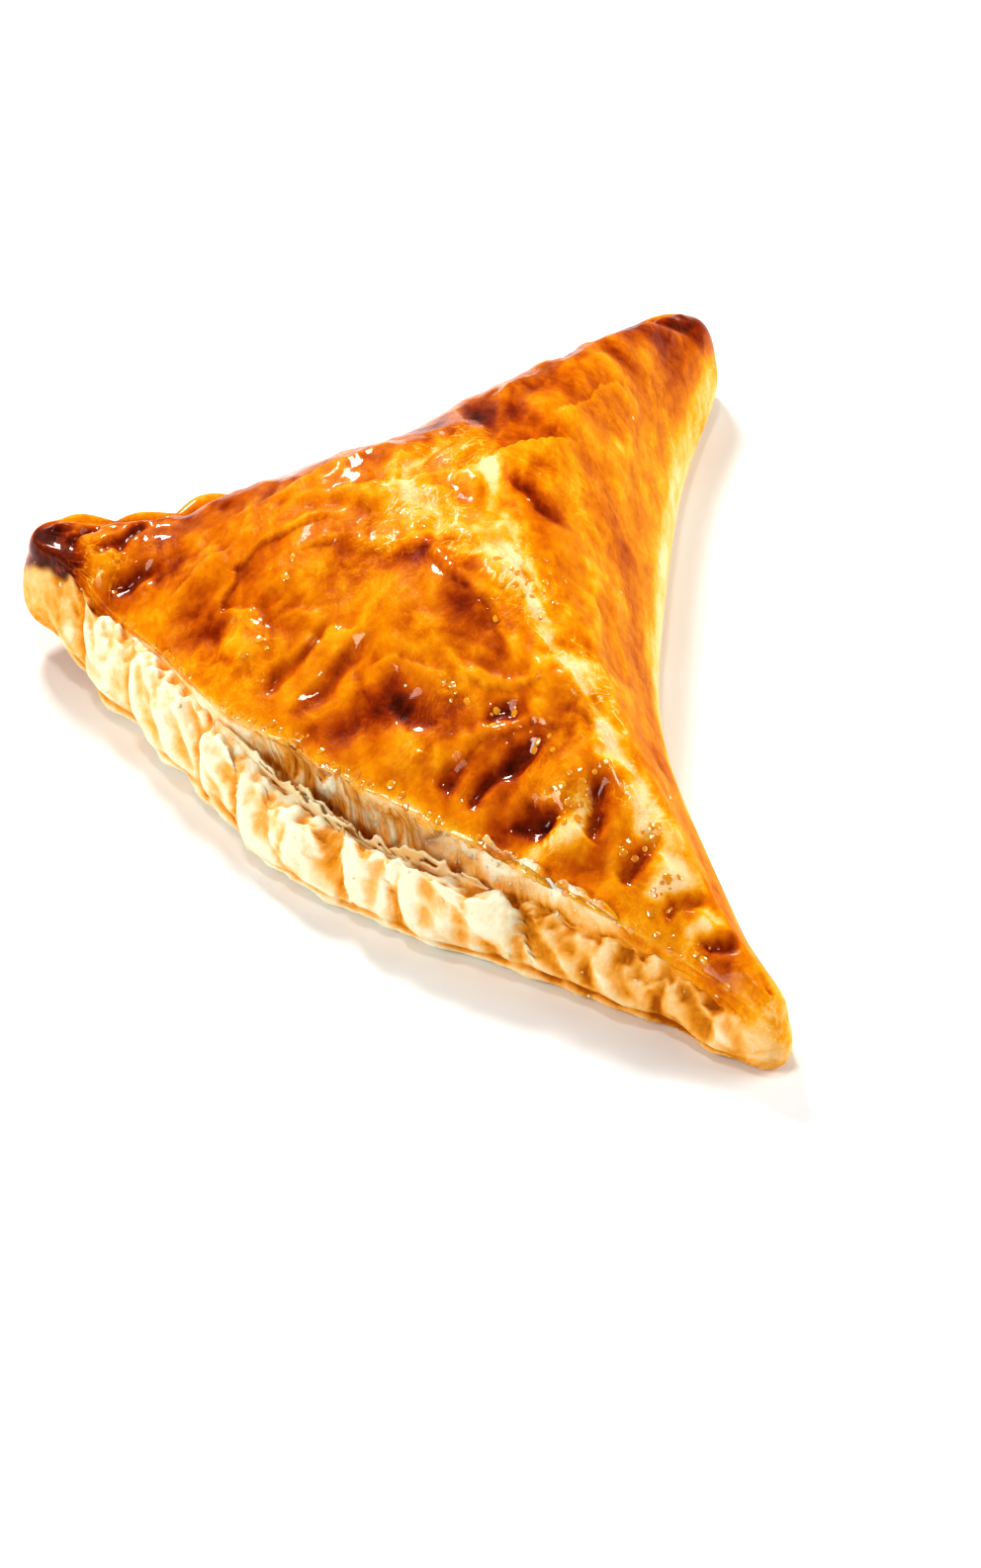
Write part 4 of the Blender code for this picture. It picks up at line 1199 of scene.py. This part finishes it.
def make_sheets(gap):
    """Ragged thin sheets of pastry that stand in the gap, as one mesh of open surfaces."""
    shape = bmesh.new()
    tear_along, tear_number = TEAR_READ
    for number, (first, last, foot, top, low, high) in enumerate(SHEETS):
        length = np.linalg.norm(gap.read(gap.lid, np.array(last)) - gap.read(gap.lid, np.array(first)))
        columns = int(length / SHEET_STEP)
        lines = int(SHEET_LINES * (high - low) / SHEET_STEP) + 2
        steps = np.linspace(first, last, columns), np.linspace(0.0, 1.0, lines)
        along, share = np.meshgrid(*steps, indexing="ij")
        waves = sheet_noise(along, share, number, WAVE_READ)
        holes = sheet_noise(along, share, number, HOLE_READ)
        tears = np.array([noise.fractal((tear_along * place, tear_number * number, 0.0), 1.0, 2.0, 3)
                          for place in steps[0]])
        ends = smooth_step((along - first) / SHEET_END) * smooth_step((last - along) / SHEET_END)
        tall = SHEET_END_HEIGHT + (1.0 - SHEET_END_HEIGHT) * ends
        up = low + (high - low) * share * (1.0 + SHEET_RAGGED * tears[:, None]) * tall
        across = foot + (top - foot) * share + SHEET_WAVE * waves
        places = in_frame(gap.point(along, across, up), gap.middle)
        grid = [[shape.verts.new(point) for point in column] for column in places]
        for column in range(columns - 1):
            for line in range(lines - 1):
                torn = holes[column, line] > SHEET_HOLE and 0 < line
                if not torn:
                    shape.faces.new((grid[column][line], grid[column + 1][line],
                                     grid[column + 1][line + 1], grid[column][line + 1]))
    loose = [vertex for vertex in shape.verts if not vertex.link_faces]
    bmesh.ops.delete(shape, geom=loose, context="VERTS")
    mesh = bpy.data.meshes.new("sheets")
    shape.to_mesh(mesh)
    shape.free()
    mesh.shade_smooth()
    return mesh


class Wire:
    """A node's output. Sums with it add Math nodes to its tree."""

    def __init__(self, graph, socket):
        self.graph = graph
        self.socket = socket

    def math(self, operation, *values):
        """A Math node on these values."""
        return self.graph.node("ShaderNodeMath", {"operation": operation}, dict(enumerate(values)))

    def __add__(self, other):
        return self.math("ADD", self, other)

    def __sub__(self, other):
        return self.math("SUBTRACT", self, other)

    def __rsub__(self, other):
        return self.math("SUBTRACT", other, self)

    def __mul__(self, other):
        return self.math("MULTIPLY", self, other)

    def __truediv__(self, other):
        return self.math("DIVIDE", self, other)

    __radd__ = __add__
    __rmul__ = __mul__

    def clamped(self):
        """Kept between 0 and 1."""
        return self.math("MINIMUM", self.math("MAXIMUM", self, 0.0), 1.0)

    def size(self):
        """Its size without its sign."""
        return self.math("ABSOLUTE", self)

    def between(self, low, high):
        """0 below low, 1 above high and an even climb between them."""
        return ((self - low) / (high - low)).clamped()


class Graph:
    """Adds nodes to one tree."""

    def __init__(self, tree):
        self.tree = tree

    def node(self, kind, settings=None, values=None, output=0):
        """Add a node, apply its settings, fill its sockets with values or links, and give one output."""
        node = self.tree.nodes.new(kind)
        for name, setting in (settings or {}).items():
            if name == "stops":
                self.set_stops(node.color_ramp, setting)
            else:
                setattr(node, name, setting)
        for key, value in (values or {}).items():
            if isinstance(value, Wire):
                self.tree.links.new(value.socket, node.inputs[key])
            else:
                node.inputs[key].default_value = value
        return Wire(self, node.outputs[output])

    @staticmethod
    def set_stops(ramp, stops):
        """Give a colour ramp its stops."""
        while len(ramp.elements) < len(stops):
            ramp.elements.new(1.0)
        for element, (place, colour) in zip(ramp.elements, stops):
            element.position = place
            element.color = (*colour, 1.0)

    def attribute(self, name):
        """A value kept on the mesh."""
        return self.node("ShaderNodeAttribute", {"attribute_name": name}, output="Fac")

    def place(self):
        """The place on the object, in metres."""
        return self.node("ShaderNodeTexCoord", output="Object")

    def noise(self, size, detail=3.0, roughness=0.55, distortion=0.0, stretch=(1.0, 1.0, 1.0), turn=0.0,
              at=None):
        """Noise from 0 to 1 with lumps of a size in metres, on the object or at given places."""
        place = self.node("ShaderNodeMapping", values={
            "Vector": at or self.place(), "Rotation": (0.0, 0.0, turn), "Scale": stretch})
        return self.node("ShaderNodeTexNoise", values={
            "Vector": place, "Scale": 1.0 / size, "Detail": detail, "Roughness": roughness,
            "Distortion": distortion}, output="Fac")

    def pattern(self, name, **options):
        """One of the named patterns."""
        return self.noise(*PATTERNS[name], **options)

    def thin_lines(self, name):
        """1 along the thin lines where a pattern passes its middle, falling to 0 beside them."""
        return (1.0 - (self.pattern(name) - 0.5).size() / LINE_WIDTHS[name]).clamped()

    def ramp(self, value, stops):
        """A colour read from a ramp."""
        return self.node("ShaderNodeValToRGB", {"stops": stops}, {"Fac": value}, output="Color")

    def mix(self, factor, first, second):
        """A mix of two colours."""
        return self.node("ShaderNodeMix", {"data_type": "RGBA"}, {0: factor, 6: first, 7: second}, output=2)

    def bumped(self, height, **options):
        """A normal roughened by a height, with the bump's strength and its distance in metres."""
        return self.node("ShaderNodeBump", values={"Height": height, **options}, output="Normal")


class Tree(Graph):
    """A Geometry Nodes tree with named inputs."""

    def __init__(self, name, inputs):
        super().__init__(bpy.data.node_groups.new(name, "GeometryNodeTree"))
        sockets = {"Geometry": "NodeSocketGeometry", **inputs, "Material": "NodeSocketMaterial"}
        for label, kind in sockets.items():
            self.tree.interface.new_socket(label, in_out="INPUT", socket_type=kind)
        self.tree.interface.new_socket("Geometry", in_out="OUTPUT", socket_type="NodeSocketGeometry")
        self.entry = self.tree.nodes.new("NodeGroupInput")

    def given(self, label):
        """One of the tree's inputs."""
        return Wire(self, self.entry.outputs[label])

    def random(self, low, high, shift=0):
        """A random number for each point."""
        seed = self.given("Seed") + shift
        return self.node("FunctionNodeRandomValue", {"data_type": "FLOAT"}, {2: low, 3: high, 8: seed},
                         output=1)

    def end(self, geometry):
        """Turn instances into mesh, set the material and give the result."""
        solid = self.node("GeometryNodeRealizeInstances", values={"Geometry": geometry})
        finished = self.node("GeometryNodeSetMaterial", values={
            "Geometry": solid, "Material": self.given("Material")})
        group_output = self.tree.nodes.new("NodeGroupOutput")
        self.tree.links.new(finished.socket, group_output.inputs["Geometry"])


def grow(mesh, tree, values):
    """The plain mesh that a tree makes from a mesh."""
    host = bpy.data.objects.new("host", mesh)
    bpy.context.scene.collection.objects.link(host)
    modifier = host.modifiers.new(tree.name, "NODES")
    modifier.node_group = tree
    for item in tree.interface.items_tree:
        if item.in_out == "INPUT" and item.name in values:
            modifier[item.identifier] = values[item.name]
    result = bpy.data.meshes.new_from_object(host.evaluated_get(bpy.context.evaluated_depsgraph_get()))
    bpy.data.objects.remove(host)
    return result


SCATTER_INPUTS = {"Density": "NodeSocketFloat", "Smallest": "NodeSocketFloat", "Largest": "NodeSocketFloat",
                  "Flatness": "NodeSocketFloat", "Roughness": "NodeSocketFloat", "Seed": "NodeSocketInt"}


def scatter_tree(mask):
    """A tree that scatters small lumps over a mesh, as thickly as a mask on it says."""
    tree = Tree(mask, SCATTER_INPUTS)
    share = tree.node("GeometryNodeInputNamedAttribute", {"data_type": "FLOAT"}, {"Name": mask},
                      output="Attribute")
    points = tree.node("GeometryNodeDistributePointsOnFaces", values={
        "Mesh": tree.given("Geometry"), "Density": tree.given("Density") * share,
        "Seed": tree.given("Seed")}, output="Points")
    facing = Wire(tree, points.socket.node.outputs["Rotation"])
    ball = tree.node("GeometryNodeMeshIcoSphere", values={"Radius": 1.0, "Subdivisions": 2}, output="Mesh")
    uneven = tree.node("ShaderNodeTexNoise", values=LUMP_NOISE, output="Color")
    centred = tree.node("ShaderNodeVectorMath", {"operation": "SUBTRACT"}, {0: uneven, 1: (0.5, 0.5, 0.5)})
    offset = tree.node("ShaderNodeVectorMath", {"operation": "SCALE"}, {
        0: centred, "Scale": tree.given("Roughness")})
    lump = tree.node("GeometryNodeSetPosition", values={"Geometry": ball, "Offset": offset})
    size = tree.random(tree.given("Smallest"), tree.given("Largest"))
    scale = tree.node("ShaderNodeCombineXYZ", values={
        "X": size, "Y": size * tree.random(*LUMP_WIDTHS, 1), "Z": size * tree.given("Flatness")})
    spin = tree.node("ShaderNodeCombineXYZ", values={"Z": tree.random(0.0, 2.0 * math.pi, 2)})
    turned = tree.node("FunctionNodeRotateRotation", {"rotation_space": "LOCAL"}, {
        "Rotation": facing, "Rotate By": spin})
    tree.end(tree.node("GeometryNodeInstanceOnPoints", values={
        "Points": points, "Instance": lump, "Rotation": turned, "Scale": scale}))
    return tree.tree


def new_material(name, constants):
    """A material, its shader with constants on its own sockets, and its graph."""
    material = bpy.data.materials.new(name)
    material.use_nodes = True
    shader = material.node_tree.nodes["Principled BSDF"]
    for key, value in constants.items():
        shader.inputs[key].default_value = value
    return material, shader, Graph(material.node_tree)


def join(graph, wire, shader, name):
    """Link a wire to one of a shader's sockets."""
    graph.tree.links.new(wire.socket, shader.inputs[name])


def colour_stops(colours, places):
    """A ramp's stops, from the names of its colours and their places."""
    return [(place, getattr(colours, name)) for name, place in places.items()]


def weighted(parts, weights):
    """The sum of the named parts, each times its weight."""
    return sum(parts[name] * weight for name, weight in weights.items())


def crust_material(colours):
    """Egg-washed lid over bare puff pastry, by where the wash is and how far it has browned."""
    material, shader, graph = new_material("baked crust", {
        "Subsurface Weight": 0.30, "Subsurface Radius": (1.0, 0.5, 0.2), "Subsurface Scale": 0.0020,
        "IOR": 1.45, "Specular IOR Level": 0.06, "Coat Roughness": 0.05, "Coat IOR": 1.45})
    part = {name: graph.attribute(name) for name in MASKS}
    for name in ("patches", "specks", "mottles", "swirls"):
        part[name] = graph.pattern(name) - 0.5
    part["streaks"] = graph.pattern("streaks", stretch=STREAK_STRETCH, turn=STREAK_TURN) - 0.5
    part["lines"] = graph.thin_lines("lines") * graph.pattern("lined areas").between(*LEVELS["lined areas"])
    fibres = graph.thin_lines("fibres") * (part["crest"] * LACED_FIBRES + LOOSE_FIBRES)
    part["pale"] = (graph.thin_lines("veins") * part["crest"] + fibres).clamped()
    along_strings = graph.node("ShaderNodeAttribute", {"attribute_name": "strings"}, output="Vector")
    strings = graph.pattern("strings", at=along_strings)
    # Painted light along the torn strings and painted shade between them.
    part["strings"] = (STRING_LEVEL - strings) * part["torn"]
    lid = graph.ramp(weighted(part, LID_WEIGHTS).clamped(), colour_stops(colours, LID_STOPS))
    shade = weighted(part, DOUGH_WEIGHTS) + DOUGH_SHADE
    dough = graph.ramp(shade.clamped(), colour_stops(colours, DOUGH_STOPS))
    join(graph, graph.mix(part["wash"], dough, lid), shader, "Base Color")
    add_gloss(graph, shader, part)
    part["fine grain"] = graph.pattern("fine grain")
    part["wrinkles"] = graph.pattern("wrinkles", stretch=STREAK_STRETCH, turn=STREAK_TURN)
    part["torn strings"] = strings * part["torn"]
    join(graph, graph.bumped(weighted(part, HEIGHT_WEIGHTS), **BUMP), shader, "Normal")
    return material


def add_gloss(graph, shader, part):
    """Gloss of the egg wash: a coat where it pooled and browned, and smoother wet spots."""
    glossy = part["wash"] * (1.0 - part["folded"] * FOLD_DULLNESS)
    gloss = {**part, "browning": part["browning"].between(*LEVELS["browning"]),
             "pools": graph.pattern("pools").between(*LEVELS["pools"])}
    dulled = (1.0 - part["crest"] * LACE_DULLNESS) * (1.0 - part["folded"])
    join(graph, (weighted(gloss, COAT_WEIGHTS) * glossy * dulled).clamped(), shader, "Coat Weight")
    spots = graph.pattern("wet spots").between(*LEVELS["wet spots"])
    wet = glossy * spots * (WET_SHARE + part["drops"]).clamped()
    rough = weighted({**part, "glossy": glossy, "wet": wet}, ROUGHNESS_WEIGHTS) + DRY_ROUGHNESS
    join(graph, rough, shader, "Roughness")


def layer_material(name, colours):
    """Bare pale dough."""
    material, shader, graph = new_material(name, {
        "Subsurface Weight": 0.35, "Subsurface Radius": (1.0, 0.5, 0.2), "Subsurface Scale": 0.0015,
        "IOR": 1.42, "Specular IOR Level": 0.4})
    level = graph.noise(0.003, detail=4.0) * 1.4 - 0.4
    join(graph, graph.ramp(level.clamped(), colour_stops(colours, LAYER_STOPS)), shader, "Base Color")
    join(graph, graph.noise(0.001, detail=2.0) * 0.25 + 0.35, shader, "Roughness")
    grain_height = graph.noise(0.0006, detail=3.0)
    join(graph, graph.bumped(grain_height, Strength=0.5, Distance=0.0002), shader, "Normal")
    return material


def drop_material(colours):
    """Drops of egg wash, golden and glossy over the baked lid."""
    material, shader, graph = new_material("egg wash drops", {
        "Roughness": 0.14, "IOR": 1.5, "Specular IOR Level": 1.0, "Coat Weight": 1.0, "Coat Roughness": 0.12})
    level = graph.noise(0.004, detail=2.0)
    join(graph, graph.ramp(level, colour_stops(colours, DROP_STOPS)), shader, "Base Color")
    return material


def add_object(name, mesh, material):
    """A piece of the pastry: it rides on the body and takes the material it is given."""
    mesh.materials.clear()
    mesh.materials.append(material)
    piece = bpy.data.objects.new(name, mesh)
    bpy.context.scene.collection.objects.link(piece)
    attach(piece, BODY)
    return piece


class PastrySizes(bpy.types.PropertyGroup):
    """Sizes of the pastry."""
    hub_height: bpy.props.FloatProperty(
        name="Height", description="Height of the dome above the base", default=0.0325, unit="LENGTH")


class PastryColours(bpy.types.PropertyGroup):
    """Colours of the pastry, from pale to burnt."""
    __annotations__ = {
        name: bpy.props.FloatVectorProperty(
            name=name.capitalize(), description=use, default=colour, subtype="COLOR", size=3)
        for name, (use, colour) in COLOURS.items()}


class ScatterSettings(bpy.types.PropertyGroup):
    """Small things on the crust."""
    seed: bpy.props.IntProperty(name="Seed", description="Seed of every random draw", default=7)
    crumb_density: bpy.props.FloatProperty(
        name="Crumbs", description="Most crumbs to a square metre", default=110000.0)
    crumb_size: bpy.props.FloatProperty(
        name="Crumb size", description="Radius of the largest crumb", default=0.00030, unit="LENGTH")
    drop_density: bpy.props.FloatProperty(
        name="Drops", description="Most drops of egg wash to a square metre", default=700000.0)
    drop_size: bpy.props.FloatProperty(
        name="Drop size", description="Radius of the largest drop", default=0.00062, unit="LENGTH")


class StudioSettings(bpy.types.PropertyGroup):
    """The floor, the lights and the camera."""
    floor_colour: bpy.props.FloatVectorProperty(
        name="Floor", description="Colour of the floor", default=(0.92, 0.92, 0.91), subtype="COLOR", size=3)
    room_light: bpy.props.FloatProperty(
        name="Room light", description="Strength of the even light from all around", default=0.13, min=0.0)
    key_power: bpy.props.FloatProperty(
        name="Key light", description="Power of the light behind the pastry", default=4.4, unit="POWER")
    top_power: bpy.props.FloatProperty(
        name="Top light", description="Power of the small light above the pastry", default=0.9, unit="POWER")
    left_power: bpy.props.FloatProperty(
        name="Left light", description="Power of the light left of the camera", default=2.9, unit="POWER")
    right_power: bpy.props.FloatProperty(
        name="Right light", description="Power of the light on the fold's side", default=3.915, unit="POWER")
    lens: bpy.props.FloatProperty(
        name="Lens", description="Focal length of the camera", default=85.43, subtype="DISTANCE_CAMERA")
    distance: bpy.props.FloatProperty(
        name="Distance", description="From the camera to the floor at its aim", default=0.4718, unit="LENGTH")
    elevation: bpy.props.FloatProperty(
        name="Elevation", description="How far the camera looks down", default=math.radians(37.52),
        subtype="ANGLE", unit="ROTATION")
    azimuth: bpy.props.FloatProperty(
        name="Azimuth", description="How far the camera stands to the side", default=math.radians(-1.7),
        subtype="ANGLE", unit="ROTATION")
    roll: bpy.props.FloatProperty(
        name="Roll", description="Tilt of the camera about its view", default=math.radians(2.06),
        subtype="ANGLE", unit="ROTATION")


class PASTRY_OT_crust(bpy.types.Operator):
    """Build the whole crust, with its egg-washed lid, open front, folded side and crimped back"""
    bl_idname = "pastry.crust"
    bl_label = "Crust"

    def execute(self, context):
        crust = Crust(context.scene.pastry_sizes)
        crust.shape_edges()
        crust.shape_lid()
        crust.paint()
        piece = add_object("crust", crust.finish("crust"), crust_material(context.scene.pastry_colours))
        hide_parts(SOLID)
        return {"FINISHED"}


class PASTRY_OT_layers(bpy.types.Operator):
    """Build the thin ragged sheets inside the open gap"""
    bl_idname = "pastry.layers"
    bl_label = "Layers"

    def execute(self, context):
        mesh = make_sheets(Gap(context.scene.pastry_sizes))
        holder = bpy.data.objects.new("holder", mesh)
        context.scene.collection.objects.link(holder)
        modifier = holder.modifiers.new("thickness", "SOLIDIFY")
        modifier.thickness = SHEET_THICKNESS * MM
        modifier.offset = 0.0
        solid = bpy.data.meshes.new_from_object(holder.evaluated_get(context.evaluated_depsgraph_get()))
        bpy.data.objects.remove(holder)
        add_object("inner_layers", solid, layer_material("inner layers", context.scene.pastry_colours))
        return {"FINISHED"}


def scatter(name, mask, density, size, shape, seed, material):
    """Scatter lumps over the crust as thickly as one of its masks says, and add them as a piece."""
    values = {**shape, "Density": density, "Smallest": shape["Smallest"] * size, "Largest": size,
              "Seed": seed, "Material": material}
    add_object(name, grow(bpy.data.objects["crust"].data, scatter_tree(mask), values), material)


class PASTRY_OT_crumbs(bpy.types.Operator):
    """Scatter crumbs on the lip and the ledge, and a few on the lid"""
    bl_idname = "pastry.crumbs"
    bl_label = "Crumbs"

    def execute(self, context):
        settings = context.scene.pastry_scatter
        material = layer_material("crumbs", context.scene.pastry_colours)
        scatter("crumbs", "crumbs", settings.crumb_density, settings.crumb_size, CRUMB_SHAPE,
                settings.seed, material)
        return {"FINISHED"}


class PASTRY_OT_drops(bpy.types.Operator):
    """Stand drops of egg wash along the lid's edge and in its hollows"""
    bl_idname = "pastry.drops"
    bl_label = "Egg wash drops"

    def execute(self, context):
        settings = context.scene.pastry_scatter
        material = drop_material(context.scene.pastry_colours)
        scatter("egg_wash_drops", "drops", settings.drop_density, settings.drop_size, DROP_SHAPE,
                settings.seed + 1, material)
        return {"FINISHED"}


def add_light(name, place, aim, size, power):
    """A square soft light that faces its aim."""
    data = bpy.data.lights.new(name, "AREA")
    data.shape = "SQUARE"
    data.size = size
    data.energy = power
    light = bpy.data.objects.new(name, data)
    light.location = place
    light.rotation_mode = "QUATERNION"
    light.rotation_quaternion = (aim - place).to_track_quat("-Z", "Y")
    bpy.context.scene.collection.objects.link(light)


class PASTRY_OT_studio(bpy.types.Operator):
    """Set up the pale floor, the soft lights and the camera"""
    bl_idname = "pastry.studio"
    bl_label = "Studio"

    def execute(self, context):
        studio = context.scene.pastry_studio
        cage = make_cage(context.scene.pastry_sizes.hub_height / MM)
        middle = frame_middle(np.array([vertex.co for vertex in cage.vertices]))
        aim = Vector((-middle[0] * MM, -middle[1] * MM, 0.0))
        self.add_floor(studio)
        self.add_room(context.scene, studio)
        for name, (offset, size, power) in LIGHTS.items():
            add_light(name, aim + Vector(offset), aim, size, getattr(studio, power))
        self.add_camera(context.scene, studio, aim)
        return {"FINISHED"}

    @staticmethod
    def add_floor(studio):
        """A wide pale floor that the pastry lies on."""
        shape = bmesh.new()
        bmesh.ops.create_grid(shape, x_segments=1, y_segments=1, size=FLOOR_HALF_SIZE)
        mesh = bpy.data.meshes.new("floor")
        shape.to_mesh(mesh)
        shape.free()
        material, _, _ = new_material("matt floor", {
            "Base Color": (*studio.floor_colour, 1.0), "Roughness": 0.9, "Specular IOR Level": 0.1})
        mesh.materials.append(material)
        floor = bpy.data.objects.new("floor", mesh)
        bpy.context.scene.collection.objects.link(floor)

    @staticmethod
    def add_room(scene, studio):
        """Even white light from all around, and colours shown as they are."""
        world = bpy.data.worlds.new("room")
        world.use_nodes = True
        background = world.node_tree.nodes["Background"]
        background.inputs["Color"].default_value = (1.0, 1.0, 1.0, 1.0)
        background.inputs["Strength"].default_value = studio.room_light
        scene.world = world
        scene.view_settings.view_transform = "Standard"
        scene.view_settings.look = "High Contrast"

    @staticmethod
    def add_camera(scene, studio, aim):
        """The camera at the photograph's angle, with its long side upright."""
        data = bpy.data.cameras.new("camera")
        data.lens = studio.lens
        camera = bpy.data.objects.new("camera", data)
        level = math.cos(studio.elevation)
        back = Vector((math.sin(studio.azimuth) * level, -math.cos(studio.azimuth) * level,
                       math.sin(studio.elevation)))
        camera.location = aim + back * studio.distance
        camera.rotation_mode = "QUATERNION"
        camera.rotation_quaternion = ((-back).to_track_quat("-Z", "Y")
                                      @ Quaternion((0.0, 0.0, 1.0), studio.roll))
        scene.collection.objects.link(camera)
        scene.camera = camera


class PASTRY_PT_panel(bpy.types.Panel):
    """Sizes, colours and the steps that build the pastry"""
    bl_idname = "PASTRY_PT_panel"
    bl_label = "Puff pastry turnover"
    bl_space_type = "VIEW_3D"
    bl_region_type = "UI"
    bl_category = "Pastry"

    def draw(self, context):
        for group in (getattr(context.scene, name) for name in GROUPS):
            box = self.layout.box()
            for name in group.__annotations__:
                box.prop(group, name)
        for operator in OPERATORS:
            self.layout.operator(operator.bl_idname)


GROUPS = {"pastry_sizes": PastrySizes, "pastry_colours": PastryColours, "pastry_scatter": ScatterSettings,
          "pastry_studio": StudioSettings}
OPERATORS = (PASTRY_OT_crust, PASTRY_OT_layers, PASTRY_OT_crumbs, PASTRY_OT_drops, PASTRY_OT_studio)


def register():
    """Register the settings, the operators and the panel."""
    for name, group in GROUPS.items():
        bpy.utils.register_class(group)
        setattr(bpy.types.Scene, name, bpy.props.PointerProperty(type=group))
    for operator in OPERATORS:
        bpy.utils.register_class(operator)
    bpy.utils.register_class(PASTRY_PT_panel)


def unregister():
    """Take the panel, the operators and the settings away again."""
    bpy.utils.unregister_class(PASTRY_PT_panel)
    for operator in reversed(OPERATORS):
        bpy.utils.unregister_class(operator)
    for name, group in GROUPS.items():
        delattr(bpy.types.Scene, name)
        bpy.utils.unregister_class(group)


def main():
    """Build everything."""
    register()
    bpy.ops.pastry.crust()
    bpy.ops.pastry.layers()
    bpy.ops.pastry.crumbs()
    bpy.ops.pastry.drops()
    bpy.ops.pastry.studio()


if __name__ == "__main__":
    main()
